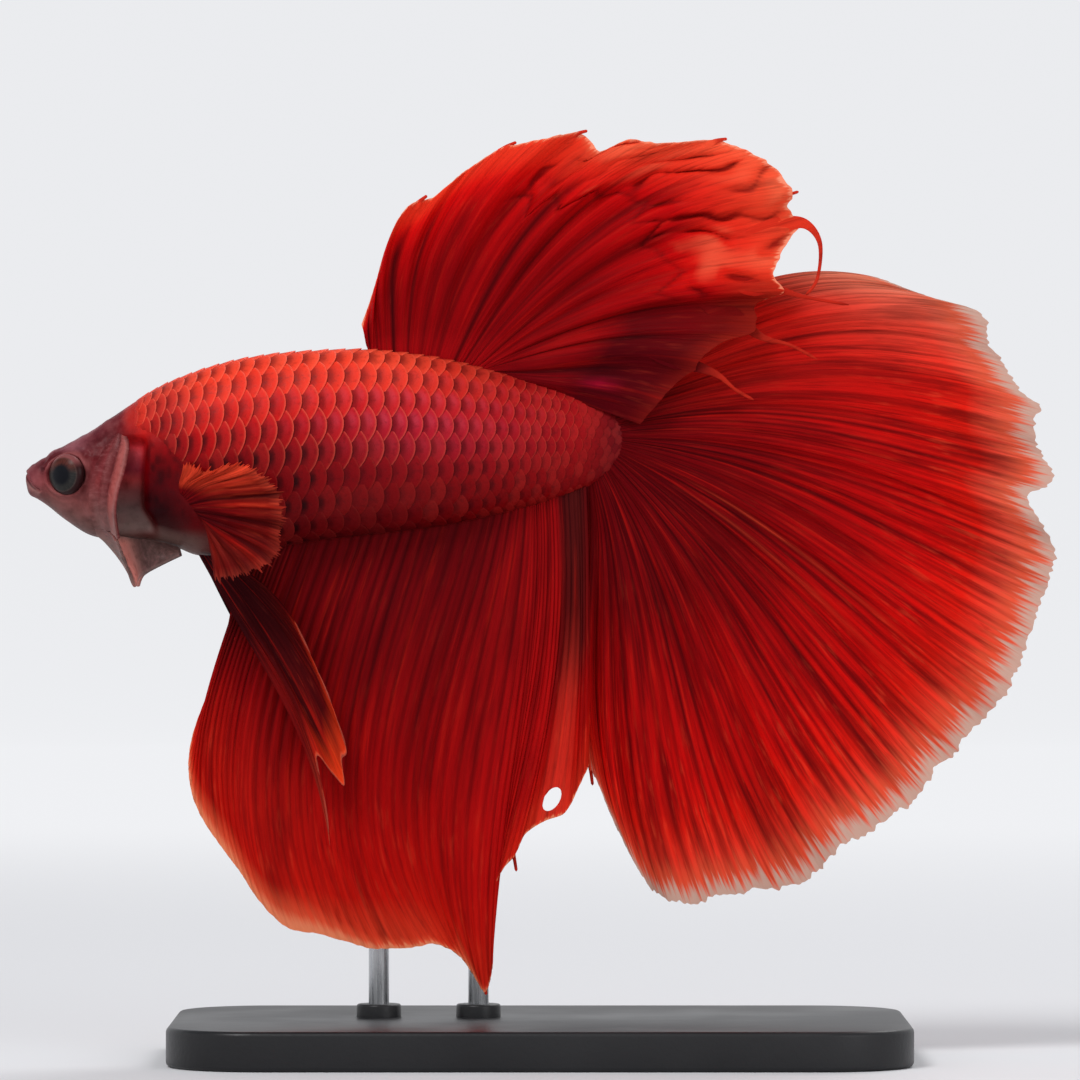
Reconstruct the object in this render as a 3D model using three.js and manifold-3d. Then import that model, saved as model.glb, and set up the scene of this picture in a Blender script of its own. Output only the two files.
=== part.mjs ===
// A male halfmoon betta (Betta splendens) as a life-size display model, on a plain stand.
// Millimetres, +Z up. The head points along -X and the fish's left flank faces -Y.
// The origin is the middle of the stand's underside. The fish itself is drawn from the tip of its
// snout, in a nested group that sets it at its height above the base.

import * as THREE from "three";
import { mergeVertices } from "three/addons/utils/BufferGeometryUtils.js";
import Module from "manifold-3d";

const wasm = await Module();
wasm.setup();

// ---- Driving dimensions ----------------------------------------------------------------------

const GAP = 0.3; // clearance between neighbouring solids
const BASE = { length: 56, width: 34, height: 3, corner: 7, bevel: 0.4 };
const ROD = { radius: 0.8, aside: 2, plug: 1.6, clearance: 0.15, sides: 14 };
const COLLAR = { radius: 1.7, height: 1 }; // ring on the base round the foot of each rod
const ROD_PLACES = { stand_rod_front: 27, stand_rod_rear: 34.6 }; // distance behind the snout
const SNOUT = new THREE.Vector3(-39.3, 0, 44.3); // tip of the snout above the stand

const FIN_THICKNESS = 0.6;
const FLAP_THICKNESS = 0.55;
const FILAMENT_TIP = 0.26; // radius of a free ray's tip
const HANDLE = 0.38; // how far a ray keeps its first and last directions, as a share of its chord

const ROUNDNESS = 2.2; // exponent of the body's sections: 2 is an ellipse
const HOOP_SIDES = 24;
const HOOP_STEPS = 34;

const EYE = { x: 3.05, z: 0.05, radius: 1.5, depth: 1, sunk: 0.3, turn: 36 };
const MOUTH = { front: 0.75, corner: [1.75, -0.55], chin: 4.4, cut: 0.25 };
const NECK = 8.7; // where the head is parted from the trunk
const STALK = 38; // where the tail stalk is parted from the trunk

// The body, hoop by hoop: distance behind the snout, heights of the back and the belly, half
// width, and the height at which the hoop is widest.
const HOOPS = [
  [0, -0.05, -0.15, 0, -0.1],
  [0.08, 0.45, -0.75, 0.75, -0.2],
  [0.45, 0.88, -1.5, 1.35, -0.3],
  [0.9, 1.18, -1.87, 1.7, -0.35],
  [1.8, 1.75, -2.5, 2.15, -0.35],
  [3.2, 2.55, -3.6, 2.7, -0.4],
  [5, 3.54, -4.7, 3.1, -0.3],
  [7, 4.85, -5.05, 3.25, -0.1],
  [9, 6.15, -5.1, 3.8, 0.2],
  [11, 7.2, -5.4, 4.3, 0.5],
  [13.2, 8.05, -6.25, 4.55, 0.7],
  [15.7, 8.8, -6.3, 4.7, 0.8],
  [18.7, 9.3, -5.7, 4.7, 1],
  [22.5, 9.6, -5.05, 4.5, 1.3],
  [26.3, 9.68, -4.6, 4.15, 1.6],
  [30, 9.3, -4.2, 3.75, 1.8],
  [34, 8.55, -3.55, 3.2, 2],
  [38, 7.48, -2.6, 2.5, 2.2],
  [41.2, 6.66, -1.75, 1.85, 2.3],
  [43.6, 6, -0.7, 1.35, 2.5],
  [45.2, 5.2, 0.4, 0.95, 2.7],
  [46, 4.1, 1.6, 0.6, 2.8],
  [46.3, 2.9, 2.8, 0, 2.85],
];

// Each fin is a fan of rays. A row is one ray: its root as a share of the fin's base, its tip
// (distance behind the snout, height), the directions in which it leaves the body and reaches its
// tip (degrees above the tailward horizontal), and how far its root and its tip stand aside.
const DORSAL_RAYS = [
  [0.02, 25.7, 11.5, 115, 110, 0, 0],
  [0.04, 26.8, 14.7, 92, 80, 0, 0],
  [0.09, 27.9, 18.2, 92, 70, 0, 0],
  [0.17, 29.3, 20.5, 93, 58, 0, -0.1],
  [0.25, 31.4, 21.4, 91, 52, 0, -0.2],
  [0.33, 33.9, 23.4, 89, 48, 0, -0.3],
  [0.41, 36.8, 25, 86, 44, 0, -0.5],
  [0.49, 39.3, 25.5, 82, 40, 0, -0.7],
  [0.56, 41.8, 26, 78, 36, 0, -0.9],
  [0.61, 43.2, 25.5, 74, 34, 0, -1],
  [0.65, 44, 24.7, 71, 32, 0, -1.1],
  [0.7, 46.2, 25.5, 67, 28, 0, -1.3],
  [0.75, 48.4, 25.1, 63, 24, 0, -1.5],
  [0.79, 52.2, 25.4, 59, 18, 0, -1.7],
  [0.83, 54.6, 24.8, 55, 14, 0, -1.9],
  [0.86, 56.8, 23.6, 51, 10, 0, -2.1],
  [0.885, 58.2, 21.7, 47, 6, 0, -2.3],
  [0.905, 57.8, 20.5, 43, 6, 0, -2.4],
  [0.92, 58.2, 19.3, 40, 6, 0, -2.5],
  [0.935, 57.5, 17.2, 37, 5, -0.1, -2.5],
  [0.948, 56.7, 15.3, 33, 4, -0.1, -2.5],
  [0.958, 57.2, 14, 30, 2, -0.1, -2.5],
  [0.967, 55.1, 13, 27, 0, -0.2, -2.4],
  [0.975, 54.8, 12, 24, -2, -0.2, -2.3],
  [0.982, 55.1, 10.9, 21, -4, -0.2, -2.3],
  [0.988, 52.6, 9.9, 16, -6, -0.3, -2.2],
  [0.994, 49.9, 8.2, 5, -10, -0.3, -2.1],
  [1, 47.1, 5.2, -12, -24, -0.3, -1.9],
];
const CAUDAL_RAYS = [
  [0, 65.1, 15.1, 52, -14, 0.3, 1.2],
  [0.05, 69.7, 13.4, 44, -16, 0.3, 1],
  [0.1, 73.1, 12.3, 38, -14, 0.3, 0.8],
  [0.15, 73.8, 9.9, 33, -16, 0.2, 0.6],
  [0.2, 75.9, 6.4, 26, -17, 0.1, 0.3],
  [0.24, 77.2, 5.1, 22, -16, 0, 0.1],
  [0.28, 77, 2.7, 17, -15, 0, -0.1],
  [0.33, 78.4, -0.3, 11, -13, 0, -0.3],
  [0.37, 76.6, -1.9, 6, -17, 0, -0.4],
  [0.42, 78.1, -5.4, 0, -20, 0, -0.3],
  [0.47, 77.1, -10.5, -8, -25, 0, 0],
  [0.53, 75, -16.1, -18, -33, 0, 0.3],
  [0.59, 71.3, -20.3, -28, -42, 0, 0.5],
  [0.65, 67.3, -24.9, -38, -48, 0, 0.4],
  [0.71, 63, -27.8, -47, -53, 0, 0.2],
  [0.77, 58.7, -30.9, -56, -58, 0.1, 0.1],
  [0.82, 54.1, -32, -64, -66, 0.1, 0.1],
  [0.87, 50.1, -32.6, -73, -70, 0.2, 0.3],
  [0.91, 47.6, -31.2, -79, -69, 0.3, 0.5],
  [0.94, 45.2, -26.9, -85, -70, 0.4, 0.7],
  [0.97, 43.2, -22.3, -91, -82, 0.45, 0.8],
  [1, 42.7, -21.8, -94, -88, 0.45, 0.8],
];
const ANAL_RAYS = [
  [0, 16.3, -11.9, -95, -95, 0, -0.1],
  [0.015, 13.9, -16.9, -98, -112, 0, -0.2],
  [0.03, 12.7, -20.5, -100, -110, 0, -0.3],
  [0.055, 12.7, -23.6, -108, -96, 0, -0.4],
  [0.085, 13.8, -26.4, -110, -82, 0, -0.5],
  [0.13, 16.1, -29.6, -111, -72, 0, -0.6],
  [0.18, 18.1, -32.5, -111, -68, 0, -0.7],
  [0.245, 20.2, -34.4, -110, -66, 0, -0.8],
  [0.335, 22.9, -35, -109, -64, 0, -0.9],
  [0.435, 26.3, -35.8, -108, -62, 0, -1],
  [0.54, 29.5, -35.8, -107, -58, 0, -1],
  [0.625, 31.4, -35.6, -106, -54, 0, -0.9],
  [0.715, 33.2, -36.6, -103, -58, 0, -0.7],
  [0.78, 34.5, -38.4, -100, -68, 0, -0.5],
  [0.83, 35.2, -39.2, -92, -82, -0.1, -0.4],
  [0.85, 35.7, -36.9, -88, -92, -0.1, -0.4],
  [0.87, 35.5, -33.4, -87, -98, -0.2, -0.5],
  [0.89, 36.1, -30.6, -86, -104, -0.3, -0.7],
  [0.91, 37.4, -28.7, -86, -105, -0.4, -0.9],
  [0.927, 38.2, -27.2, -86, -103, -0.45, -1],
  [0.947, 39.6, -26.3, -86, -100, -0.45, -1],
  [0.968, 41.2, -25.6, -86, -96, -0.45, -1],
  [0.985, 42.3, -23.5, -87, -92, -0.45, -0.9],
  [1, 43, -22, -88, -91, -0.45, -0.8],
];
const PECTORAL_RAYS = [
  [0, 12.4, 0.8, 105, 85, 0, 0.9],
  [0.08, 14.4, 0.6, 75, 55, 0, 1.4],
  [0.16, 16.4, 0.9, 55, 40, 0, 2],
  [0.26, 18.5, 0.3, 38, 25, 0, 2.5],
  [0.38, 19.7, -1, 20, 12, 0, 2.9],
  [0.5, 20.1, -2.2, 4, 0, 0, 3.1],
  [0.62, 20.1, -3.7, -8, -12, 0, 3.1],
  [0.72, 19.9, -5.1, -20, -24, 0, 2.9],
  [0.82, 18.8, -6.7, -38, -42, 0, 2.6],
  [0.9, 16.8, -7.5, -58, -62, 0, 2.1],
  [1, 14.7, -7.6, -78, -84, 0, 1.6],
];
const PELVIC_RAYS = {
  left: [
    [0, 23.4, -28, -62, -82, 0, 2.2],
    [0.1, 23.1, -25.2, -60, -80, 0, 2.2],
    [0.2, 22.4, -21.3, -57, -72, 0, 2.1],
    [0.35, 23.6, -22.6, -52, -66, 0, 2],
    [0.5, 24.5, -23.5, -48, -68, 0, 2],
    [0.6, 24.3, -21.6, -44, -66, 0, 1.9],
    [0.7, 24.6, -20.6, -41, -66, 0, 1.8],
    [0.85, 23.1, -16.3, -36, -64, 0, 1.7],
    [1, 20.9, -11.4, -28, -58, 0, 1.4],
  ],
  right: [
    [0, 22.4, -27, -66, -78, 0, 2.6],
    [0.1, 22, -24.4, -64, -76, 0, 2.6],
    [0.2, 21.4, -20.8, -60, -70, 0, 2.5],
    [0.35, 22.5, -22.2, -56, -66, 0, 2.4],
    [0.5, 23.3, -22.8, -52, -64, 0, 2.3],
    [0.6, 23.3, -20.8, -48, -64, 0, 2.2],
    [0.7, 23.5, -19.4, -45, -64, 0, 2.1],
    [0.85, 22.1, -15.4, -39, -60, 0, 1.9],
    [1, 20, -11, -31, -56, 0, 1.6],
  ],
};

// Rays that run on past a fin's edge: root radius, then the places they pass (behind the snout,
// aside, height).
const DORSAL_FILAMENTS = [
  [0.3, [57.4, -2.3, 21.1], [58.9, -2.4, 21.5]],
  [
    0.5,
    [56.2, -2.4, 18.7],
    [59.3, -2.6, 19.1],
    [60.5, -2.8, 17.6],
    [60.3, -2.9, 14.9],
    [59.3, -3, 13.5],
  ],
  [0.42, [55.9, -2.4, 14.2], [58.9, -2.6, 13.6], [62.7, -2.8, 12.9]],
  [0.42, [53.6, -2.3, 11.6], [57.2, -2.5, 10.3], [60.3, -2.7, 8.6]],
  [0.38, [48.6, -2.1, 8.4], [52, -2.3, 7.7], [55.6, -2.6, 5.9]],
];
const ANAL_FILAMENTS = [
  [0.3, [37.2, -0.8, -28.3], [37.5, -0.9, -30.1]],
  [0.32, [34.6, -0.4, -38.2], [35.1, -0.5, -39.3]],
];
const CAUDAL_FILAMENTS = [[0.3, [43, 0.7, -21.2], [43.3, 0.8, -23.6]]];
const ANAL_TEAR = { x: 40.2, z: -24.6, long: 1.1, wide: 0.75, turn: 62 }; // old hole near the edge

const BASE_LINES = {
  dorsal: { from: 26.1, to: 35.2 },
  anal: { from: 16.1, to: 42.8 },
  caudal: { x: 42.8, z: 2.7, radius: 3.9, from: 72, to: -88 }, // arc round the stalk's end
  pectoral: { from: [12.1, -1.25], to: [13.9, -3.5] },
  pelvic: { from: [13.4, 1.5], to: [15, 1.3] }, // behind the snout, aside
};
// Folds of each fin: how many run across it, how high they stand at the edge, and where they start.
const FOLDS = {
  dorsal: { count: 6, height: 0.55, start: 0.2 },
  caudal: { count: 7, height: 0.5, start: 0.1 },
  anal: { count: 6, height: 0.28, start: 0 },
  pectoral: { count: 4, height: 0.2, start: 0 },
  pelvic: { count: 1, height: 0.1, start: 0 },
};

// The flared gill cover and the throat membrane that hangs from it. A row is one place along the
// hinge: the hinge (behind the snout, height), then the free edge (behind the snout, aside, height).
const GILL_ROWS = [
  [6.9, 3.2, 8.1, 4.3, 2.8],
  [5.9, 1.6, 7.6, 5.8, 1],
  [5.3, -0.3, 7.2, 6.9, -1.3],
  [5.15, -2, 7.05, 6.9, -2.9],
  [5.3, -3.4, 7.3, 5.9, -4.5],
];
const BEARD_ROWS = [
  [5.5, -4.05, 7.4, 5.5, -5],
  [5.8, -4.9, 7.95, 4.2, -6.7],
  [6.8, -5, 8.55, 2.7, -8.45],
  [8.2, -5.05, 9.1, 2.2, -7.6],
  [9.9, -5.15, 10.5, 1.9, -6.8],
  [11.3, -5.4, 12.2, 1.9, -6.45],
];
const FLAP_BULGE = 0.45; // how far a flap swells forward between its hinge and its edge

// ---- Tools -----------------------------------------------------------------------------------

// A row of numbers between the rows of a table, on a smooth curve through them. t runs 0 to 1.
function along(rows, t) {
  const place = THREE.MathUtils.clamp(t, 0, 1) * (rows.length - 1);
  const i = Math.min(Math.floor(place), rows.length - 2);
  const f = place - i;
  const row = (k) => rows[THREE.MathUtils.clamp(k, 0, rows.length - 1)];
  return rows[0].map((_, c) => {
    const [a, b, d, e] = [row(i - 1)[c], row(i)[c], row(i + 1)[c], row(i + 2)[c]];
    return b + 0.5 * f * (d - a + f * (2 * a - 5 * b + 4 * d - e + f * (3 * (b - d) + e - a)));
  });
}

const radians = THREE.MathUtils.degToRad;

// A closed mesh of points and triangles as a manifold solid.
function solid(geometry) {
  const bare = geometry.clone();
  bare.deleteAttribute("normal");
  bare.deleteAttribute("uv");
  const merged = mergeVertices(bare, 1e-4);
  return new wasm.Manifold(
    new wasm.Mesh({
      numProp: 3,
      vertProperties: merged.attributes.position.array,
      triVerts: new Uint32Array(merged.index.array),
    }),
  );
}

// A manifold solid as a geometry.
function geometryOf(shape) {
  const mesh = shape.getMesh();
  const geometry = new THREE.BufferGeometry();
  geometry.setAttribute("position", new THREE.BufferAttribute(mesh.vertProperties, 3));
  geometry.setIndex(new THREE.BufferAttribute(mesh.triVerts, 1));
  geometry.computeVertexNormals();
  return geometry;
}

function fromPoints(points, faces) {
  const geometry = new THREE.BufferGeometry().setFromPoints(points);
  geometry.setIndex(faces);
  return geometry;
}

// A closed skin through rings of points, with a fan to the middle of the first and the last ring.
function loft(rings) {
  const sides = rings[0].length;
  const points = rings.flat();
  const faces = [];
  for (let r = 0; r + 1 < rings.length; r++)
    for (let s = 0; s < sides; s++) {
      const [a, b] = [r * sides + s, r * sides + ((s + 1) % sides)];
      faces.push(a, b, b + sides, a, b + sides, a + sides);
    }
  for (const [ring, turned] of [
    [0, true],
    [rings.length - 1, false],
  ]) {
    const middle = new THREE.Vector3();
    rings[ring].forEach((p) => middle.addScaledVector(p, 1 / sides));
    const hub = points.push(middle) - 1;
    for (let s = 0; s < sides; s++) {
      const [a, b] = [ring * sides + s, ring * sides + ((s + 1) % sides)];
      faces.push(...(turned ? [hub, b, a] : [hub, a, b]));
    }
  }
  return solid(fromPoints(points, faces));
}

// A plate whose middle surface is pointAt(u, v). Half its thickness is the vector acrossAt(u, v).
function plate(pointAt, acrossAt, columns, rows) {
  const points = [];
  const faces = [];
  for (const side of [1, -1])
    for (let i = 0; i <= columns; i++)
      for (let j = 0; j <= rows; j++) {
        const [u, v] = [i / columns, j / rows];
        points.push(pointAt(u, v).addScaledVector(acrossAt(u, v), side));
      }
  const under = (columns + 1) * (rows + 1);
  const at = (i, j) => i * (rows + 1) + j;
  const quad = (a, b, c, d) => faces.push(a, b, c, a, c, d);
  for (let i = 0; i < columns; i++)
    for (let j = 0; j < rows; j++) {
      const [a, b, c, d] = [at(i, j), at(i + 1, j), at(i + 1, j + 1), at(i, j + 1)];
      quad(a, b, c, d);
      quad(d + under, c + under, b + under, a + under);
    }
  for (let i = 0; i < columns; i++) {
    quad(at(i, 0) + under, at(i + 1, 0) + under, at(i + 1, 0), at(i, 0));
    quad(at(i, rows), at(i + 1, rows), at(i + 1, rows) + under, at(i, rows) + under);
  }
  for (let j = 0; j < rows; j++) {
    quad(at(0, j), at(0, j + 1), at(0, j + 1) + under, at(0, j) + under);
    quad(at(columns, j) + under, at(columns, j + 1) + under, at(columns, j + 1), at(columns, j));
  }
  const shape = solid(fromPoints(points, faces));
  return shape.volume() > 0 ? shape : solid(fromPoints(points, faces.reverse()));
}

// A round rod through places, thinning from one radius to another.
function tapered(places, fromRadius, toRadius, sides = 5, steps = 5) {
  const path =
    places.length > 2
      ? new THREE.CatmullRomCurve3(places)
      : new THREE.LineCurve3(places[0], places[1]);
  const rings = [];
  for (let k = 0; k <= steps; k++) {
    const ahead = path.getTangent(k / steps);
    const side = new THREE.Vector3(0, 1, 0).cross(ahead).normalize();
    const up = ahead.clone().cross(side);
    const radius = THREE.MathUtils.lerp(fromRadius, toRadius, k / steps);
    rings.push(
      Array.from({ length: sides }, (_, s) => {
        const angle = (2 * Math.PI * s) / sides;
        return path
          .getPoint(k / steps)
          .addScaledVector(side, radius * Math.cos(angle))
          .addScaledVector(up, radius * Math.sin(angle));
      }),
    );
  }
  return loft(rings);
}

// ---- Body ------------------------------------------------------------------------------------

// The hoop at a distance behind the snout: its back, belly, half width and widest height.
function hoopAt(x) {
  let [low, high] = [0, 1];
  for (let k = 0; k < 30; k++) {
    const middle = (low + high) / 2;
    if (along(HOOPS, middle)[0] < x) low = middle;
    else high = middle;
  }
  const [, back, belly, half, level] = along(HOOPS, low);
  return { back, belly, half, level };
}

// Half the body's width at a place on its side.
function flankAt(x, z) {
  const { back, belly, half, level } = hoopAt(x);
  const share = z > level ? (z - level) / (back - level) : (level - z) / (level - belly);
  return half * Math.pow(Math.max(0, 1 - Math.pow(share, ROUNDNESS)), 1 / ROUNDNESS);
}

const bowed = (value) => Math.sign(value) * Math.pow(Math.abs(value), 2 / ROUNDNESS);

function hoopRing([x, back, belly, half, level]) {
  return Array.from({ length: HOOP_SIDES }, (_, s) => {
    const angle = (2 * Math.PI * s) / HOOP_SIDES;
    const [across, up] = [bowed(Math.cos(angle)), bowed(Math.sin(angle))];
    return new THREE.Vector3(x, half * across, level + up * (up > 0 ? back - level : level - belly));
  });
}

function wholeBody() {
  const rings = [];
  for (let k = 0; k <= HOOP_STEPS; k++) {
    const row = along(HOOPS, (k + 0.5) / (HOOP_STEPS + 1));
    rings.push(hoopRing(row));
  }
  return loft(rings);
}

// A flat-sided block from an outline in the side view, as wide as the whole fish.
function sideBlock(outline) {
  const shape = new THREE.Shape(outline.map(([x, z]) => new THREE.Vector2(x, z)));
  const block = new THREE.ExtrudeGeometry(shape, { depth: 30, bevelEnabled: false });
  return solid(block.translate(0, 0, -15).rotateX(Math.PI / 2));
}

function between(from, to) {
  return sideBlock([
    [from, -15],
    [to, -15],
    [to, 15],
    [from, 15],
  ]);
}

function eyeShape(side, grown = 0) {
  const ball = new THREE.SphereGeometry(1, 16, 8);
  ball.rotateX((-side * Math.PI) / 2);
  ball.scale(EYE.radius + grown, EYE.depth + grown, EYE.radius + grown);
  ball.rotateZ(radians(side * EYE.turn));
  return solid(ball.translate(EYE.x, side * (flankAt(EYE.x, EYE.z) - EYE.sunk), EYE.z));
}

// The jaw's outline, drawn in by a margin from the mouth's slit and from its hinge.
function jawBlock(margin) {
  const [cornerX, cornerZ] = MOUTH.corner;
  return sideBlock([
    [-2, MOUTH.front - margin],
    [cornerX - margin, cornerZ - margin],
    [MOUTH.chin - margin, -7],
    [-2, -7],
  ]);
}

function rodShape(x, fromZ, toZ, grown = 0) {
  const rod = new THREE.CylinderGeometry(
    ROD.radius + grown,
    ROD.radius + grown,
    toZ - fromZ,
    ROD.sides,
  );
  rod.rotateX(Math.PI / 2);
  return solid(rod.translate(x, ROD.aside, (fromZ + toZ) / 2));
}

// Height at which a rod beside the keel meets the underside of the body.
function rodMeets(x) {
  const { belly, half, level } = hoopAt(x);
  const share = Math.pow(1 - Math.pow(ROD.aside / half, ROUNDNESS), 1 / ROUNDNESS);
  return level - share * (level - belly);
}

function bodyParts() {
  const body = wholeBody();
  let head = body.intersect(between(-5, NECK - GAP / 2));
  let trunk = body.intersect(between(NECK + GAP / 2, STALK - GAP / 2));
  for (const side of [-1, 1]) head = head.subtract(eyeShape(side, GAP));
  const lower_jaw = head.intersect(jawBlock(MOUTH.cut));
  head = head.subtract(jawBlock(0));
  for (const x of Object.values(ROD_PLACES)) {
    const top = rodMeets(x) + ROD.plug + ROD.clearance;
    trunk = trunk.subtract(rodShape(x, top - 8, top, ROD.clearance));
  }
  return {
    head,
    lower_jaw,
    trunk,
    tail_stalk: body.intersect(between(STALK + GAP / 2, 60)),
  };
}

// ---- Gill covers and throat membranes --------------------------------------------------------

function flap(rows, side, columns, steps) {
  const pointAt = (u, v) => {
    const [hingeX, hingeZ, edgeX, edgeY, edgeZ] = along(rows, u);
    const hingeY = flankAt(hingeX, hingeZ) + GAP + FLAP_THICKNESS / 2;
    const swell = FLAP_BULGE * Math.sin(Math.PI * v);
    return new THREE.Vector3(
      THREE.MathUtils.lerp(hingeX, edgeX, v) - swell,
      side * THREE.MathUtils.lerp(hingeY, edgeY, v),
      THREE.MathUtils.lerp(hingeZ, edgeZ, v) - swell / 2,
    );
  };
  const step = 0.01;
  const acrossAt = (u, v) => {
    const alongU = pointAt(Math.min(1, u + step), v).sub(pointAt(Math.max(0, u - step), v));
    const alongV = pointAt(u, Math.min(1, v + step)).sub(pointAt(u, Math.max(0, v - step)));
    return alongU.cross(alongV).setLength(FLAP_THICKNESS / 2);
  };
  return plate(pointAt, acrossAt, columns, steps);
}

// ---- Fins ------------------------------------------------------------------------------------

const roots = {
  dorsal(share) {
    const x = THREE.MathUtils.lerp(BASE_LINES.dorsal.from, BASE_LINES.dorsal.to, share);
    return new THREE.Vector3(x, 0, hoopAt(x).back + GAP);
  },
  anal(share) {
    const x = THREE.MathUtils.lerp(BASE_LINES.anal.from, BASE_LINES.anal.to, share);
    return new THREE.Vector3(x, 0, hoopAt(x).belly - GAP);
  },
  caudal(share) {
    const { x, z, radius, from, to } = BASE_LINES.caudal;
    const angle = radians(THREE.MathUtils.lerp(from, to, share));
    return new THREE.Vector3(x + radius * Math.cos(angle), 0, z + radius * Math.sin(angle));
  },
  pectoral(share) {
    const { from, to } = BASE_LINES.pectoral;
    const x = THREE.MathUtils.lerp(from[0], to[0], share);
    const z = THREE.MathUtils.lerp(from[1], to[1], share);
    return new THREE.Vector3(x, flankAt(x, z) + GAP + FIN_THICKNESS, z);
  },
  pelvic(share) {
    const { from, to } = BASE_LINES.pelvic;
    const x = THREE.MathUtils.lerp(from[0], to[0], share);
    return new THREE.Vector3(x, THREE.MathUtils.lerp(from[1], to[1], share), hoopAt(x).belly - GAP);
  },
};

// A place on a fin: u runs from the first ray to the last, v from a ray's root to its tip.
function finPoint(kind, rays, side, u, v) {
  const [share, tipX, tipZ, leaves, reaches, rootAside, tipAside] = along(rays, u);
  const start = roots[kind](share);
  start.y += rootAside;
  const end = new THREE.Vector3(tipX, start.y + tipAside - rootAside, tipZ);
  const pull = HANDLE * start.distanceTo(end);
  const rise = (end.y - start.y) / 3;
  const first = new THREE.Vector3(Math.cos(radians(leaves)), 0, Math.sin(radians(leaves)));
  const last = new THREE.Vector3(Math.cos(radians(reaches)), 0, Math.sin(radians(reaches)));
  const ray = new THREE.CubicBezierCurve3(
    start,
    start.clone().addScaledVector(first, pull).setY(start.y + rise),
    end.clone().addScaledVector(last, -pull).setY(end.y - rise),
    end,
  );
  const point = ray.getPoint(v);
  const { count, height, start: turn } = FOLDS[kind];
  point.y += height * v * Math.sin(2 * Math.PI * (count * u + turn));
  point.y *= side;
  return point;
}

function fin(kind, rays, side, columns, rows, filaments = []) {
  const across = new THREE.Vector3(0, FIN_THICKNESS / 2, 0);
  let shape = plate((u, v) => finPoint(kind, rays, side, u, v), () => across, columns, rows);
  for (const [radius, ...places] of filaments) {
    const path = places.map((place) => new THREE.Vector3(...place));
    shape = shape.add(tapered(path, radius, FILAMENT_TIP));
  }
  return shape;
}

function tear() {
  const hole = new THREE.CylinderGeometry(1, 1, 8, 14);
  hole.scale(ANAL_TEAR.wide, 1, ANAL_TEAR.long);
  hole.rotateY(radians(ANAL_TEAR.turn));
  return solid(hole.translate(ANAL_TEAR.x, 0, ANAL_TEAR.z));
}

// ---- Stand -----------------------------------------------------------------------------------

function standBase() {
  const { length, width, height, corner, bevel } = BASE;
  const [x, y] = [length / 2 - bevel, width / 2 - bevel];
  const outline = new THREE.Shape();
  outline.moveTo(x - corner, -y);
  outline.absarc(x - corner, corner - y, corner, -Math.PI / 2, 0);
  outline.absarc(x - corner, y - corner, corner, 0, Math.PI / 2);
  outline.absarc(corner - x, y - corner, corner, Math.PI / 2, Math.PI);
  outline.absarc(corner - x, corner - y, corner, Math.PI, 1.5 * Math.PI);
  const slab = new THREE.ExtrudeGeometry(outline, {
    depth: height - 2 * bevel,
    bevelThickness: bevel,
    bevelSize: bevel,
    bevelSegments: 1,
    curveSegments: 5,
  });
  let base = solid(slab.translate(0, 0, bevel));
  for (const x of Object.values(ROD_PLACES)) {
    const ring = new THREE.CylinderGeometry(COLLAR.radius, COLLAR.radius, COLLAR.height * 2, ROD.sides);
    ring.rotateX(Math.PI / 2).translate(SNOUT.x + x, ROD.aside, height);
    base = base.add(solid(ring));
    const from = height - ROD.plug - ROD.clearance;
    base = base.subtract(rodShape(SNOUT.x + x, from, height + 5, ROD.clearance));
  }
  return base;
}

function standRod(x) {
  const foot = BASE.height - ROD.plug;
  return rodShape(SNOUT.x + x, foot, SNOUT.z + rodMeets(x) + ROD.plug);
}

// ---- The model -------------------------------------------------------------------------------

const finish = (color, roughness, metalness = 0) =>
  new THREE.MeshStandardMaterial({ color, roughness, metalness });

const materials = {
  flesh: finish(0xc2231c, 0.45),
  head: finish(0x9a5a58, 0.5),
  gill: finish(0xb06a62, 0.5),
  beard: finish(0x94807a, 0.5),
  eye: finish(0x15181c, 0.12),
  fin: finish(0xb0120c, 0.5),
  pectoral: finish(0xd23a16, 0.5),
  pelvic: finish(0x5c0d10, 0.5),
  base: finish(0x1b1c1e, 0.35),
  rod: finish(0xb9bcc0, 0.25, 1),
};

function node(group, name, shape, material) {
  const mesh = new THREE.Mesh(geometryOf(shape), material);
  mesh.name = name;
  group.add(mesh);
}

const model = new THREE.Group();
const fish = new THREE.Group();
fish.position.copy(SNOUT);
model.add(fish);

const { head, lower_jaw, trunk, tail_stalk } = bodyParts();
node(fish, "head", head, materials.head);
node(fish, "lower_jaw", lower_jaw, materials.head);
node(fish, "trunk", trunk, materials.flesh);
node(fish, "tail_stalk", tail_stalk, materials.flesh);

for (const [name, side] of [
  ["left", -1],
  ["right", 1],
]) {
  node(fish, `eye_${name}`, eyeShape(side), materials.eye);
  node(fish, `gill_cover_${name}`, flap(GILL_ROWS, side, 6, 3), materials.gill);
  node(fish, `gill_beard_${name}`, flap(BEARD_ROWS, side, 9, 3), materials.beard);
  node(fish, `pectoral_fin_${name}`, fin("pectoral", PECTORAL_RAYS, side, 16, 4), materials.pectoral);
  node(fish, `pelvic_fin_${name}`, fin("pelvic", PELVIC_RAYS[name], side, 10, 6), materials.pelvic);
}

node(fish, "dorsal_fin", fin("dorsal", DORSAL_RAYS, 1, 38, 5, DORSAL_FILAMENTS), materials.fin);
node(fish, "caudal_fin", fin("caudal", CAUDAL_RAYS, 1, 42, 6, CAUDAL_FILAMENTS), materials.fin);
node(
  fish,
  "anal_fin",
  fin("anal", ANAL_RAYS, 1, 36, 6, ANAL_FILAMENTS).subtract(tear()),
  materials.fin,
);

node(model, "stand_base", standBase(), materials.base);
for (const [name, x] of Object.entries(ROD_PLACES)) node(model, name, standRod(x), materials.rod);

export default model;
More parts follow.
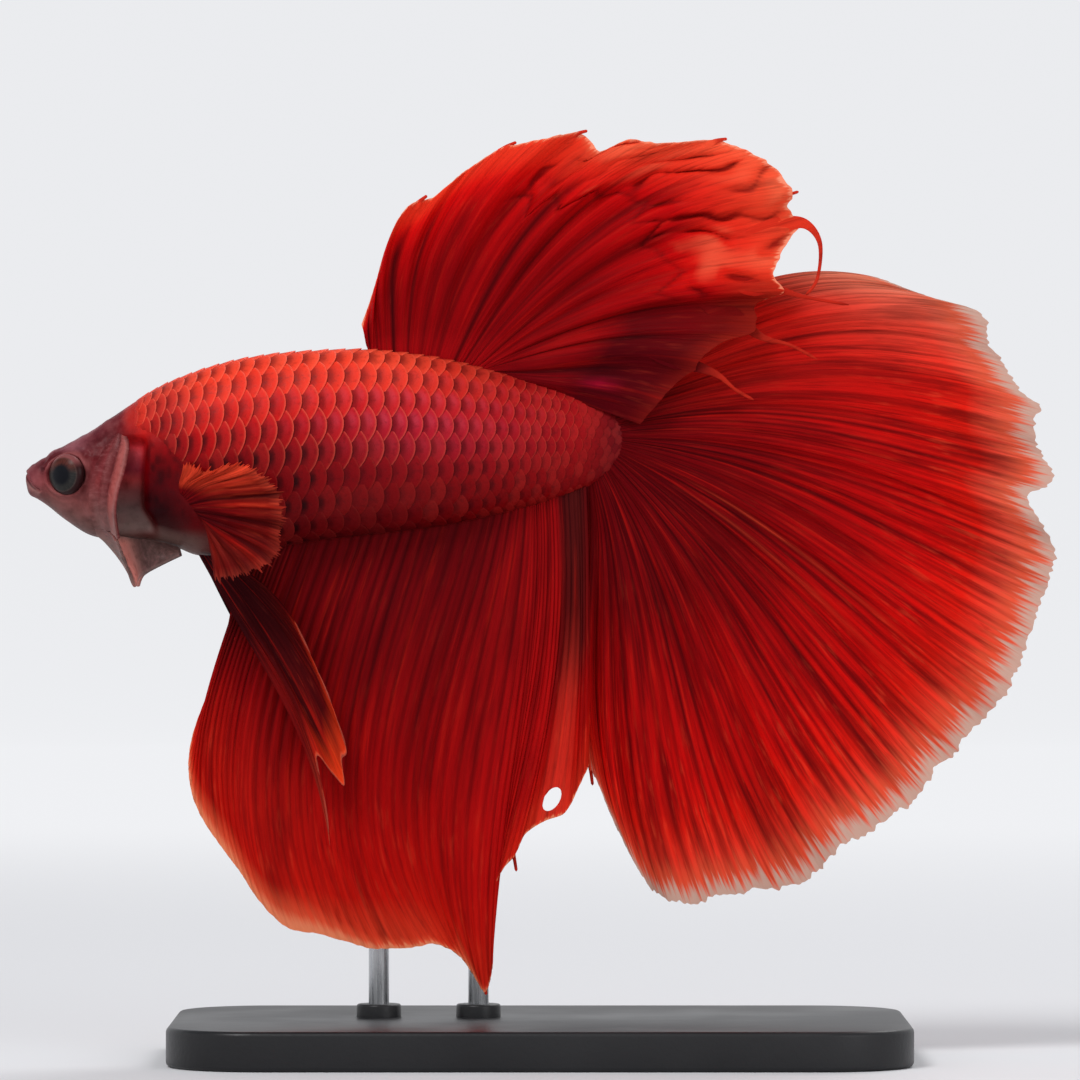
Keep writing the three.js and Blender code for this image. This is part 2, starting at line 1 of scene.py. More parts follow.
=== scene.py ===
"""A male halfmoon betta on its display stand: skin, scales, eyes, fins and finishes.

The fish is drawn in millimetres from the tip of its snout, as the solids are: x runs back to the
tail, z runs up, and the left flank faces -y. place() sets those points into the frame, in metres.
"""

import math

import bpy
import numpy as np
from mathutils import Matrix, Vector


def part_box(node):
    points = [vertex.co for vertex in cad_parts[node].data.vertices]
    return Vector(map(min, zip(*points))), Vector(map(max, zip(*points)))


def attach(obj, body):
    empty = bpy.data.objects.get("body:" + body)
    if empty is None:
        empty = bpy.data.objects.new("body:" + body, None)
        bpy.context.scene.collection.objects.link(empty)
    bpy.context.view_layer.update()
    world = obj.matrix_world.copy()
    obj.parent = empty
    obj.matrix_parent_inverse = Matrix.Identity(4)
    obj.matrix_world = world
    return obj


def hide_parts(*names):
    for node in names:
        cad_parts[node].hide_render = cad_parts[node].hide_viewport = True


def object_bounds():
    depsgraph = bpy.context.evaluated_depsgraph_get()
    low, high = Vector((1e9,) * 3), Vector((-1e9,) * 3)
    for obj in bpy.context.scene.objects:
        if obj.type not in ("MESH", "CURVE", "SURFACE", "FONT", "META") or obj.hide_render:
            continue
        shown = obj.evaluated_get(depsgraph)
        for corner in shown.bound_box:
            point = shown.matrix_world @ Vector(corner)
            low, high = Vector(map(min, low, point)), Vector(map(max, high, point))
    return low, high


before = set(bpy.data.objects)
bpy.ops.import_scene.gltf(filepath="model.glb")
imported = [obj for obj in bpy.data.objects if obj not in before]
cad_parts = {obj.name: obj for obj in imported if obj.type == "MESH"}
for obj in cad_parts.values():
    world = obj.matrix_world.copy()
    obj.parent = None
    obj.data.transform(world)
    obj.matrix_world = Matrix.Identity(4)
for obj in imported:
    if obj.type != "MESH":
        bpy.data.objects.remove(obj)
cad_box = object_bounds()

# ---- Body ----------------------------------------------------------------------------------------

ROUNDNESS = 2.2  # exponent of the body's sections: 2 is an ellipse
SHARP_EDGE = math.radians(58)  # a bend above this shows as an edge
EYE = {"x": 3.42, "z": 0.05, "radius": 1.58, "depth": 0.8, "sunk": 0.3, "turn": 33}
SKIN_DEPTH = 0.18  # how far the skin lies inside the solids, under the scales
BODY_RINGS, BODY_SIDES = 400, 210

# Distance behind the snout, heights of the back and the belly, half width, widest height.
HOOPS = [
    (0, -0.05, -0.15, 0, -0.1),
    (0.08, 0.45, -0.75, 0.75, -0.2),
    (0.45, 0.88, -1.5, 1.35, -0.3),
    (0.9, 1.18, -1.87, 1.7, -0.35),
    (1.8, 1.75, -2.5, 2.15, -0.35),
    (3.2, 2.55, -3.6, 2.7, -0.4),
    (5, 3.54, -4.7, 3.1, -0.3),
    (7, 4.85, -5.05, 3.25, -0.1),
    (9, 6.15, -5.1, 3.8, 0.2),
    (11, 7.2, -5.4, 4.3, 0.5),
    (13.2, 8.05, -6.25, 4.55, 0.7),
    (15.7, 8.8, -6.3, 4.7, 0.8),
    (18.7, 9.3, -5.7, 4.7, 1),
    (22.5, 9.6, -5.05, 4.5, 1.3),
    (26.3, 9.68, -4.6, 4.15, 1.6),
    (30, 9.3, -4.2, 3.75, 1.8),
    (34, 8.55, -3.55, 3.2, 2),
    (38, 7.48, -2.6, 2.5, 2.2),
    (41.2, 6.66, -1.75, 1.85, 2.3),
    (43.6, 6, -0.7, 1.35, 2.5),
    (45.2, 5.2, 0.4, 0.95, 2.7),
    (46, 4.1, 1.6, 0.6, 2.8),
    (46.3, 2.9, 2.8, 0, 2.85),
]

# ---- Fins ----------------------------------------------------------------------------------------

HANDLE = 0.38  # how far a ray keeps its first and last directions, as a share of its chord

# A row is one ray: its root as a share of the fin's base, its tip (behind the snout, height), the
# directions in which it leaves the body and reaches its tip, and how far both ends stand aside.
DORSAL_RAYS = [
    (0.02, 25.7, 11.5, 115, 110, 0, 0),
    (0.04, 26.8, 14.7, 92, 80, 0, 0),
    (0.09, 27.9, 18.2, 92, 70, 0, 0),
    (0.17, 29.3, 20.5, 93, 58, 0, -0.1),
    (0.25, 31.4, 21.4, 91, 52, 0, -0.2),
    (0.33, 33.9, 23.4, 89, 48, 0, -0.3),
    (0.41, 36.8, 25, 86, 44, 0, -0.5),
    (0.49, 39.3, 25.5, 82, 40, 0, -0.7),
    (0.56, 41.8, 26, 78, 36, 0, -0.9),
    (0.61, 43.2, 25.5, 74, 34, 0, -1),
    (0.65, 44, 24.7, 71, 32, 0, -1.1),
    (0.7, 46.2, 25.5, 67, 28, 0, -1.3),
    (0.75, 48.4, 25.1, 63, 24, 0, -1.5),
    (0.79, 52.2, 25.4, 59, 18, 0, -1.7),
    (0.83, 54.6, 24.8, 55, 14, 0, -1.9),
    (0.86, 56.8, 23.6, 51, 10, 0, -2.1),
    (0.885, 58.2, 21.7, 47, 6, 0, -2.3),
    (0.905, 57.8, 20.5, 43, 6, 0, -2.4),
    (0.92, 58.2, 19.3, 40, 6, 0, -2.5),
    (0.935, 57.5, 17.2, 37, 5, -0.1, -2.5),
    (0.948, 56.7, 15.3, 33, 4, -0.1, -2.5),
    (0.958, 57.2, 14, 30, 2, -0.1, -2.5),
    (0.967, 55.1, 13, 27, 0, -0.2, -2.4),
    (0.975, 54.8, 12, 24, -2, -0.2, -2.3),
    (0.982, 55.1, 10.9, 21, -4, -0.2, -2.3),
    (0.988, 52.6, 9.9, 16, -6, -0.3, -2.2),
    (0.994, 49.9, 7.6, -4, -14, -0.3, -2.1),
    (1, 46.9, 3.9, -20, -20, -0.3, -1.9),
]
CAUDAL_RAYS = [
    (0, 65.1, 15.1, 52, -14, 0.3, 1.2),
    (0.05, 69.7, 13.4, 44, -16, 0.3, 1),
    (0.1, 73.1, 12.3, 38, -14, 0.3, 0.8),
    (0.15, 73.8, 9.9, 33, -16, 0.2, 0.6),
    (0.2, 75.9, 6.4, 26, -17, 0.1, 0.3),
    (0.24, 77.2, 5.1, 22, -16, 0, 0.1),
    (0.28, 77, 2.7, 17, -15, 0, -0.1),
    (0.33, 78.4, -0.3, 11, -13, 0, -0.3),
    (0.37, 76.6, -1.9, 6, -17, 0, -0.4),
    (0.42, 78.1, -5.4, 0, -20, 0, -0.3),
    (0.47, 77.1, -10.5, -8, -25, 0, 0),
    (0.53, 75, -16.1, -18, -33, 0, 0.3),
    (0.59, 71.3, -20.3, -28, -42, 0, 0.5),
    (0.65, 67.3, -24.9, -38, -48, 0, 0.4),
    (0.71, 63, -27.8, -47, -53, 0, 0.2),
    (0.77, 58.7, -30.9, -56, -58, 0.1, 0.1),
    (0.82, 54.1, -32, -64, -66, 0.1, 0.1),
    (0.87, 50.1, -32.6, -73, -70, 0.2, 0.3),
    (0.91, 47.6, -31.2, -79, -69, 0.3, 0.5),
    (0.94, 45.2, -26.9, -85, -70, 0.4, 0.7),
    (0.97, 43.2, -22.3, -91, -82, 0.45, 0.8),
    (1, 42.7, -21.8, -94, -88, 0.45, 0.8),
]
ANAL_RAYS = [
    (0, 16.3, -11.9, -95, -95, 0, -0.1),
    (0.015, 13.9, -16.9, -98, -112, 0, -0.2),
    (0.03, 12.7, -20.5, -100, -110, 0, -0.3),
    (0.055, 12.7, -23.6, -108, -96, 0, -0.4),
    (0.085, 13.8, -26.4, -110, -82, 0, -0.5),
    (0.13, 16.1, -29.6, -111, -72, 0, -0.6),
    (0.18, 18.1, -32.5, -111, -68, 0, -0.7),
    (0.245, 20.2, -34.4, -110, -66, 0, -0.8),
    (0.335, 22.9, -35, -109, -64, 0, -0.9),
    (0.435, 26.3, -35.8, -108, -62, 0, -1),
    (0.54, 29.5, -35.8, -107, -58, 0, -1),
    (0.625, 31.4, -35.6, -106, -54, 0, -0.9),
    (0.715, 33.2, -36.6, -103, -58, 0, -0.7),
    (0.78, 34.5, -38.4, -100, -68, 0, -0.5),
    (0.83, 35.2, -39.2, -92, -82, -0.1, -0.4),
    (0.85, 35.7, -36.9, -88, -92, -0.1, -0.4),
    (0.87, 35.5, -33.4, -87, -98, -0.2, -0.5),
    (0.89, 36.1, -30.6, -86, -104, -0.3, -0.7),
    (0.91, 37.4, -28.7, -86, -105, -0.4, -0.9),
    (0.927, 38.2, -27.2, -86, -103, -0.45, -1),
    (0.947, 39.6, -26.3, -86, -100, -0.45, -1),
    (0.968, 41.2, -25.6, -86, -96, -0.45, -1),
    (0.985, 42.3, -23.5, -87, -92, -0.45, -0.9),
    (1, 43, -22, -88, -91, -0.45, -0.8),
]
PECTORAL_RAYS = [
    (0, 12.4, 0.8, 105, 85, 0, 0.9),
    (0.08, 14.4, 0.6, 75, 55, 0, 1.4),
    (0.16, 16.4, 0.9, 55, 40, 0, 2),
    (0.26, 18.5, 0.3, 38, 25, 0, 2.5),
    (0.38, 19.7, -1, 20, 12, 0, 2.9),
    (0.5, 20.1, -2.2, 4, 0, 0, 3.1),
    (0.62, 20.1, -3.7, -8, -12, 0, 3.1),
    (0.72, 19.9, -5.1, -20, -24, 0, 2.9),
    (0.82, 18.8, -6.7, -38, -42, 0, 2.6),
    (0.9, 16.8, -7.5, -58, -62, 0, 2.1),
    (1, 14.7, -7.6, -78, -84, 0, 1.6),
]
PELVIC_RAYS = {
    "left": [
        (0, 23.4, -28, -62, -82, 0, 2.2),
        (0.1, 23.1, -25.2, -60, -80, 0, 2.2),
        (0.2, 22.4, -21.3, -57, -72, 0, 2.1),
        (0.35, 23.6, -22.6, -52, -66, 0, 2),
        (0.5, 24.5, -23.5, -48, -68, 0, 2),
        (0.6, 24.3, -21.6, -44, -66, 0, 1.9),
        (0.7, 24.6, -20.6, -41, -66, 0, 1.8),
        (0.85, 23.1, -16.3, -36, -64, 0, 1.7),
        (1, 20.9, -11.4, -28, -58, 0, 1.4),
    ],
    "right": [
        (0, 22.4, -27, -66, -78, 0, 2.6),
        (0.1, 22, -24.4, -64, -76, 0, 2.6),
        (0.2, 21.4, -20.8, -60, -70, 0, 2.5),
        (0.35, 22.5, -22.2, -56, -66, 0, 2.4),
        (0.5, 23.3, -22.8, -52, -64, 0, 2.3),
        (0.6, 23.3, -20.8, -48, -64, 0, 2.2),
        (0.7, 23.5, -19.4, -45, -64, 0, 2.1),
        (0.85, 22.1, -15.4, -39, -60, 0, 1.9),
        (1, 20, -11, -31, -56, 0, 1.6),
    ],
}
# Rays that run on past the edge: the width of their web, then the places they pass.
DORSAL_FILAMENTS = [
    (0.9, (56.2, -2.3, 20.6), (57.6, -2.3, 21.1), (58.9, -2.4, 21.5)),
    (
        2.2,
        (54.6, -2.4, 18.2),
        (57.2, -2.4, 18.9),
        (59.3, -2.6, 19.1),
        (60.5, -2.8, 17.6),
        (60.3, -2.9, 14.9),
        (59.3, -3, 13.5),
    ),
    (2.0, (54.2, -2.4, 14.1), (56.6, -2.5, 14.2), (59.4, -2.6, 13.5), (62.7, -2.8, 12.9)),
    (2.4, (51.4, -2.3, 13.0), (54.0, -2.4, 12.0), (56.1, -2.5, 10.5), (58.2, -2.6, 9.9), (60.3, -2.7, 8.8)),
    (2.0, (47.4, -2.1, 9.2), (50.0, -2.2, 8.6), (52.6, -2.3, 7.7), (54.1, -2.4, 6.5), (55.5, -2.6, 5.7)),
    (0.5, (29.6, -0.1, 20.2), (30.2, -0.1, 20.9), (30.7, -0.1, 21.3)),
    (0.6, (36.0, -0.4, 24.3), (36.8, -0.4, 25.0), (37.5, -0.4, 25.35)),
    (0.6, (41.2, -0.9, 25.3), (42.1, -0.9, 25.95), (42.9, -0.9, 26.2)),
    (0.6, (51.8, -1.7, 24.9), (52.7, -1.7, 25.4), (53.5, -1.7, 25.55)),
]
ANAL_FILAMENTS = [
    (0.8, (36.6, -0.8, -27.6), (37.2, -0.8, -28.6), (37.5, -0.9, -30.1)),
    (0.9, (34.6, -0.4, -37.4), (35.0, -0.4, -38.4), (35.2, -0.5, -39.5)),
]
CAUDAL_FILAMENTS = [(0.8, (42.9, 0.7, -20.4), (43.1, 0.8, -22), (43.3, 0.8, -23.6))]
# A hole through the anal fin: its middle, half its length and half its width, its lean in degrees.
ANAL_TEAR = {"x": 40.2, "z": -24.6, "long": 1.0, "wide": 0.58, "turn": 58}

# Where each fin leaves the body. The caudal fin's is an arc, from one angle to the other; a pair's
# lines run between places, as behind the snout and height, or behind the snout and aside.
BASE_LINES = {
    "dorsal": {"from": 26.1, "to": 35.2},
    "anal": {"from": 16.1, "to": 42.8},
    "caudal": {"x": 42.8, "z": 2.7, "radius": 3.9, "from": 72, "to": -88},
    "pectoral": {"from": (12.1, -1.25), "to": (13.9, -3.5)},
    "pelvic": {"from": (13.4, 1.5), "to": (15, 1.3)},
}
# The slow waves of a fin from its first ray to its last.
FOLDS = {
    "dorsal": {"count": 6, "height": 0.55, "start": 0.2},
    "caudal": {"count": 7, "height": 0.5, "start": 0.1},
    "anal": {"count": 6, "height": 0.28, "start": 0},
    "pectoral": {"count": 4, "height": 0.2, "start": 0},
    "pelvic": {"count": 1, "height": 0.1, "start": 0},
}

# The gill cover and the throat membrane: hinge (behind the snout, height), free edge (behind the
# snout, aside, height).
GILL_ROWS = [
    (7.2, 3.1, 7.9, 3.45, 2.9),
    (6.5, 2.3, 8.15, 4.4, 2.1),
    (5.75, 0.9, 7.95, 5.9, 0.5),
    (5.3, -0.6, 7.5, 6.8, -1.2),
    (5.15, -2.2, 7.3, 6.9, -2.9),
    (5.5, -3.9, 7.5, 5.7, -4.8),
]
BEARD_ROWS = [
    (5.5, -4.05, 7.4, 5.5, -5),
    (5.8, -4.9, 7.95, 4.2, -6.7),
    (6.8, -5, 8.55, 2.7, -8.45),
    (8.2, -5.05, 9.1, 2.2, -7.6),
    (9.9, -5.15, 10.4, 1.9, -6.85),
    (11.85, -5.6, 11.95, 1.9, -6.1),
]
BEARD_LIFT = [0.15, 0.35, 0.4, 0.25, 0.15, 0.15]  # how much higher the membrane's skin hinges, by row

# ---- Places --------------------------------------------------------------------------------------

BACK_TOP = 9.68  # height of the back's top above the snout's tip
SNOUT = np.array([cad_box[0][0] * 1000, 0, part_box("trunk")[1].z * 1000 - BACK_TOP])


def place(points):
    """Points of the fish, in metres in the frame."""
    return (np.asarray(points, float) + SNOUT) / 1000


# ---- Small tools ---------------------------------------------------------------------------------


def along(rows, t):
    """Rows of a table between its rows, on a smooth curve through them. t runs from 0 to 1."""
    rows = np.asarray(rows, float)
    last = len(rows) - 1
    spot = np.clip(t, 0, 1) * last
    i = np.minimum(spot.astype(int), last - 1)
    f = (spot - i)[..., None]
    a, b, d, e = (rows[np.clip(i + k, 0, last)] for k in (-1, 0, 1, 2))
    return b + 0.5 * f * (d - a + f * (2 * a - 5 * b + 4 * d - e + f * (3 * (b - d) + e - a)))


def smooth(low, high, value):
    """0 below low, 1 above high, and a smooth rise between them."""
    t = np.clip((np.asarray(value, float) - low) / (high - low), 0, 1)
    return t * t * (3 - 2 * t)


def bump(distance, width):
    """1 at no distance, and a bell's fall to either side."""
    return np.exp(-((distance / width) ** 2))


def unit(vectors):
    """Vectors brought to a length of one."""
    return vectors / np.maximum(np.linalg.norm(vectors, axis=-1, keepdims=True), 1e-9)


def hashed(*cells):
    """A repeatable number between 0 and 1 for each whole-number cell."""
    value = sum(np.asarray(c, float) * k for c, k in zip(cells, (12.9898, 78.233, 37.719)))
    return np.modf(np.abs(np.sin(value) * 43758.5453))[0]


def wander(x, y=0.0, seed=0):
    """Smooth noise between -1 and 1 with a wavelength of about one."""
    x, y = np.broadcast_arrays(np.asarray(x, float), np.asarray(y, float))
    i, j = np.floor(x), np.floor(y)
    u, v = smooth(0, 1, x - i), smooth(0, 1, y - j)
    low = hashed(i, j, seed) * (1 - u) + hashed(i + 1, j, seed) * u
    high = hashed(i, j + 1, seed) * (1 - u) + hashed(i + 1, j + 1, seed) * u
    return 2 * (low * (1 - v) + high * v) - 1


def linear(*srgb):
    """A colour from its usual 0 to 255 values, as the shader takes it."""
    return np.array([((c / 255 + 0.055) / 1.055) ** 2.4 if c > 10 else c / 255 / 12.92 for c in srgb])


def mix(a, b, share):
    """a where share is 0, b where it is 1."""
    share = np.asarray(share, float)[..., None]
    return a * (1 - share) + b * share


def ramp(stops, value):
    """A colour between stops, each of them (place, colour)."""
    places = [place for place, _ in stops]
    colours = np.array([linear(*colour) for _, colour in stops])
    return np.stack([np.interp(value, places, colours[:, k]) for k in range(3)], axis=-1)


def bezier(start, first, last, end, v):
    """Points of a curve that leaves its start towards first and reaches its end from last."""
    w = v[..., None]
    return (1 - w) ** 3 * start + 3 * (1 - w) ** 2 * w * first + 3 * (1 - w) * w**2 * last + w**3 * end


def make_piece(name, points, faces, values=None, colours=None, bake_uv=None):
    """A mesh object from points in millimetres of the fish. values and colours are per point."""
    mesh = bpy.data.meshes.new(name)
    points = place(points)
    mesh.vertices.add(len(points))
    mesh.vertices.foreach_set("co", points.astype(np.float32).ravel())
    corners = np.concatenate([f.ravel() for f in faces]).astype(np.int32)
    sizes = np.concatenate([np.full(len(f), f.shape[1]) for f in faces])
    mesh.loops.add(len(corners))
    mesh.loops.foreach_set("vertex_index", corners)
    mesh.polygons.add(len(sizes))
    starts = np.concatenate([[0], np.cumsum(sizes)[:-1]]).astype(np.int32)
    mesh.polygons.foreach_set("loop_start", starts)
    mesh.update(calc_edges=True)
    mesh.validate()
    mesh.shade_smooth()
    for key, numbers in (values or {}).items():
        layer = mesh.attributes.new(key, "FLOAT", "POINT")
        layer.data.foreach_set("value", np.asarray(numbers, np.float32).ravel())
    for key, shades in (colours or {}).items():
        layer = mesh.color_attributes.new(key, "FLOAT_COLOR", "POINT")
        full = np.concatenate([shades, np.ones((len(shades), 1))], axis=1)
        layer.data.foreach_set("color", full.astype(np.float32).ravel())
    if bake_uv is not None:
        layer = mesh.uv_layers.new(name="OFBake")
        layer.data.foreach_set("uv", bake_uv[corners].astype(np.float32).ravel())
    piece = bpy.data.objects.new(name, mesh)
    bpy.context.scene.collection.objects.link(piece)
    return piece


def shell(front, back, keep=None):
    """Points and faces of a closed shell between two grids of points. keep says which cells stay."""
    columns, rows = front.shape[:2]
    points = np.concatenate([front.reshape(-1, 3), back.reshape(-1, 3)])
    under = columns * rows
    index = np.arange(under).reshape(columns, rows)
    if keep is None:
        keep = np.ones((columns - 1, rows - 1), bool)
    a, b = index[:-1, :-1], index[1:, :-1]
    c, d = index[1:, 1:], index[:-1, 1:]
    top = np.stack([a[keep], b[keep], c[keep], d[keep]], axis=1)
    faces = [top, top[:, ::-1] + under]
    ring = np.pad(keep, 1)
    inside = ring[1:-1, 1:-1]
    for there, p, q in (
        (ring[1:-1, :-2], a, b),
        (ring[2:, 1:-1], b, c),
        (ring[1:-1, 2:], c, d),
        (ring[:-2, 1:-1], d, a),
    ):
        open_side = inside & ~there
        p, q = p[open_side], q[open_side]
        faces.append(np.stack([q, p, p + under, q + under], axis=1))
    return points, [f for f in faces if len(f)]


def ring_quads(points, rings):
    """The numbers of points that lie on rings, by ring, and the faces between one ring and the next."""
    index = np.arange(len(points)).reshape(rings, -1)
    turn = np.roll(index, -1, axis=1)
    return index, turn, np.stack([index[:-1], turn[:-1], turn[1:], index[1:]], axis=-1).reshape(-1, 4)


def tube(points, rings, hubs):
    """Points and faces of a closed tube through rings of points, with both ends drawn to a hub."""
    index, turn, quads = ring_quads(points, rings)
    first, last = (np.full(index.shape[1], len(points) + k) for k in (0, 1))
    caps = [np.stack([turn[0], index[0], first], axis=1), np.stack([index[-1], turn[-1], last], axis=1)]
    return np.concatenate([points, hubs]), [quads, *caps]


def drop_loose(points, faces, *tables):
    """Leaves out the points that no face uses."""
    used = np.unique(np.concatenate([f.ravel() for f in faces]))
    number = np.full(len(points), -1)
    number[used] = np.arange(len(used))
    return points[used], [number[f] for f in faces], [table[used] for table in tables]


def blade(places, web, thickness=0.045, sides=14, steps=48):
    """A flat closed rod along places: a wide web that soon narrows to a thread. Also how far along."""
    t = np.linspace(0, 1, steps)
    path = along(places, t)
    swell = np.interp(t, [0, 0.22, 1], [0.05, 1, 1])
    half_width = swell * (0.11 + 0.5 * web * np.clip(1 - t / 0.75, 0, 1) ** 2 + 0.07 * (1 - t))
    half_width = half_width * np.interp(t, [0, 0.93, 1], [1, 1, 0.25])
    half_depth = np.minimum(half_width, np.interp(t, [0, 0.3, 0.7, 1], [0.5, 1, 1.9, 1.1]) * thickness)
    ahead = unit(np.gradient(path, axis=0))
    depth = unit(np.array([0, 1, 0]) - ahead * ahead[:, 1:2])
    wide = np.cross(ahead, depth)
    angle = np.linspace(0, 2 * math.pi, sides, endpoint=False)
    ring = (
        (half_width[:, None] * np.cos(angle))[..., None] * wide[:, None]
        + (half_depth[:, None] * np.sin(angle))[..., None] * depth[:, None]
    )
    points, faces = tube((path[:, None] + ring).reshape(-1, 3), steps, path[[0, -1]])
    return points, faces, np.append(np.repeat(t, sides), [0, 1])


# ---- The body's law ------------------------------------------------------------------------------

STATIONS = along(HOOPS, np.linspace(0, 1, 6000))


def hoop_at(x):
    """Back, belly, half width and widest height of the body at distances behind the snout."""
    return [np.interp(x, STATIONS[:, 0], STATIONS[:, k]) for k in (1, 2, 3, 4)]


def bowed(value):
    """A circle's share across or up, pushed out to the fuller section of the body."""
    return np.sign(value) * np.abs(value) ** (2 / ROUNDNESS)


def body_point(x, angle):
    """A point of the body. angle is 0 on the right flank, 90 on the back and 180 on the left."""
    back, belly, half, level = hoop_at(x)
    across, up = bowed(np.cos(angle)), bowed(np.sin(angle))
    z = level + up * np.where(up > 0, back - level, level - belly)
    return np.stack([x, half * across, z], axis=-1)


def body_normal(x, angle):
    """The way the body's surface faces at body_point(x, angle)."""
    step_x, step_a = 0.02, 0.004
    dx = body_point(x + step_x, angle) - body_point(x - step_x, angle)
    da = body_point(x, angle + step_a) - body_point(x, angle - step_a)
    return unit(np.cross(da, dx))


def flank_at(x, z):
    """Half the body's width at a place on its side."""
    back, belly, half, level = hoop_at(x)
    share = np.where(z > level, (z - level) / (back - level), (level - z) / (level - belly))
    return half * np.maximum(0, 1 - share**ROUNDNESS) ** (1 / ROUNDNESS)


def eye_frame(side):
    """The middle of an eye and the way it looks."""
    aside = float(flank_at(EYE["x"], EYE["z"])) - EYE["sunk"]
    turn = math.radians(EYE["turn"])
    middle = np.array([EYE["x"], side * aside, EYE["z"]])
    return middle, np.array([-math.sin(turn), side * math.cos(turn), 0])


def about_eye(points, side):
    """How far points lie in front of an eye's middle, and how far from the line it looks along."""
    middle, look = eye_frame(side)
    offset = points - middle
    lift = offset @ look
    return lift, np.linalg.norm(offset - lift[:, None] * look, axis=1)


def hinge_x(z):
    """How far back the gill cover's hinge lies at a height."""
    rows = along(GILL_ROWS, np.linspace(0, 1, 60))
    return np.interp(z, rows[::-1, 1], rows[::-1, 0])


def near_line(points, line):
    """Distance in the side view from points to a line of places (behind the snout, height)."""
    best = np.full(len(points), 1e9)
    for (x0, z0), (x1, z1) in zip(line[:-1], line[1:]):
        run = np.array([x1 - x0, z1 - z0])
        start = np.stack([points[:, 0] - x0, points[:, 2] - z0], axis=1)
        t = np.clip(start @ run / (run @ run), 0, 1)
        best = np.minimum(best, np.linalg.norm(start - t[:, None] * run, axis=1))
    return best


MOUTH_LINE = [(-0.3, 0.35), (0.1, 0.12), (0.36, -0.35), (0.72, -0.85), (1.2, -1.2)]
CHEEK_LINE = [(4.7, 1.6), (4.35, 0.1), (4.5, -1.6), (5.3, -3.2)]  # edge of the bone before the gill
NOSTRIL = (1.5, 0.5)
SHOULDER_X = 9.5  # where the shoulder starts, behind the gill


def shoulder_front(z):
    """Front edge of the shoulder, behind the gill's hollow."""
    return SHOULDER_X + 0.16 * wander(z * 0.9, 0, 71) + 0.9 * (1 - smooth(-4.6, -2.4, z))


def gill_hollow(x, z):
    """1 in the hollow that the flared gill cover leaves open, else 0."""
    front = shoulder_front(z)
    span = smooth(hinge_x(z) + 0.1, hinge_x(z) + 0.9, x) * (1 - smooth(front - 0.7, front, x))
    return span * smooth(-4.7, -3.9, z) * (1 - smooth(2.4, 3.2, z))


# Heights of the skin's forms, in millimetres. Below 0 is a dent.
RELIEF = {
    "mouth": -0.13,
    "lips": 0.04,
    "chin": 0.15,
    "brow_dip": -0.07,
    "brow": 0.1,
    "socket": -0.85,
    "eye_rim": 0.17,
    "eye_groove": -0.05,
    "eye_fold": 0.03,
    "nostril": -0.12,
    "nostril_rim": 0.05,
    "cheek_edge": 0.09,
    "cheek_groove": -0.05,
    "hollow_folds": 0.13,
    "hollow": -0.8,
    "shoulder": 0.14,
    "fin_root": 0.42,
    "head_grain": 0.022,
    "body_swell": 0.03,
}


def skin_relief(points):
    """How far the skin stands out of the plain body, in millimetres."""
    high = RELIEF
    x, y, z = points.T
    relief = -SKIN_DEPTH * np.ones(len(points))
    mouth = near_line(points, MOUTH_LINE)
    lips = high["mouth"] * bump(mouth, 0.09) + high["lips"] * bump(mouth - 0.26, 0.16)
    relief += lips * smooth(-0.15, 0.2, x)
    relief += high["chin"] * bump(np.hypot(x - 0.5, z + 1.3), 0.55)
    brow = high["brow_dip"] * bump(x - 1.6, 0.22) + high["brow"] * bump(x - 2.2, 0.45)
    relief += brow * smooth(0.5, 1.2, z)
    for side in (-1, 1):
        lift, ring = about_eye(points, side)
        near = (lift > -1.2) * (y * side > 0)
        socket = high["socket"] * (1 - smooth(1.3, 1.5, ring))
        relief += near * (socket + high["eye_rim"] * bump(ring - 1.62, 0.15))
        fold = high["eye_fold"] * bump(ring - 2.2, 0.12)
        relief += near * (high["eye_groove"] * bump(ring - 1.95, 0.13) + fold)
        nostril = np.hypot(x - NOSTRIL[0], z - NOSTRIL[1])
        rim = high["nostril_rim"] * bump(nostril - 0.24, 0.09)
        relief += (y * side > 0) * (high["nostril"] * bump(nostril, 0.12) + rim)
    cheek = near_line(points, CHEEK_LINE)
    relief += high["cheek_edge"] * bump(cheek, 0.22) + high["cheek_groove"] * bump(cheek - 0.45, 0.16)
    folds = high["hollow_folds"] * wander(x * 1.6 + 3, z * 1.3, 14) * smooth(-2, 0, z)
    relief += (folds + high["hollow"] + 0.35 * (1 - smooth(-3.4, -2, z))) * gill_hollow(x, z)
    front = shoulder_front(z)
    shoulder = smooth(front - 0.3, front + 0.3, x) * (1 - smooth(10.2, 12, x))
    relief += high["shoulder"] * shoulder * smooth(-4.5, -3, z) * (1 - smooth(2, 3.5, z))
    fin_root = np.hypot(x - 12.6, (z + 2.2) * 0.8)
    relief += high["fin_root"] * bump(fin_root, 1.35)
    head = 1 - smooth(6.5, 9, x)
    grain = wander(x * 2.1, z * 2.1, 3) + 0.5 * wander(x * 5.3, z * 5.3, 4)
    relief += high["head_grain"] * head * grain * smooth(0.2, 1.6, z + 0.25 * x)
    flank = smooth(9.5, 13, x) * (1 - smooth(40, 44, x))
    relief += high["body_swell"] * flank * wander(x * 0.9, z * 1.3, 8)
    return relief


def skin_point(x, angle):
    """A point of the skin, with its relief."""
    points = body_point(x, angle)
    return points + body_normal(x, angle) * skin_relief(points)[:, None]
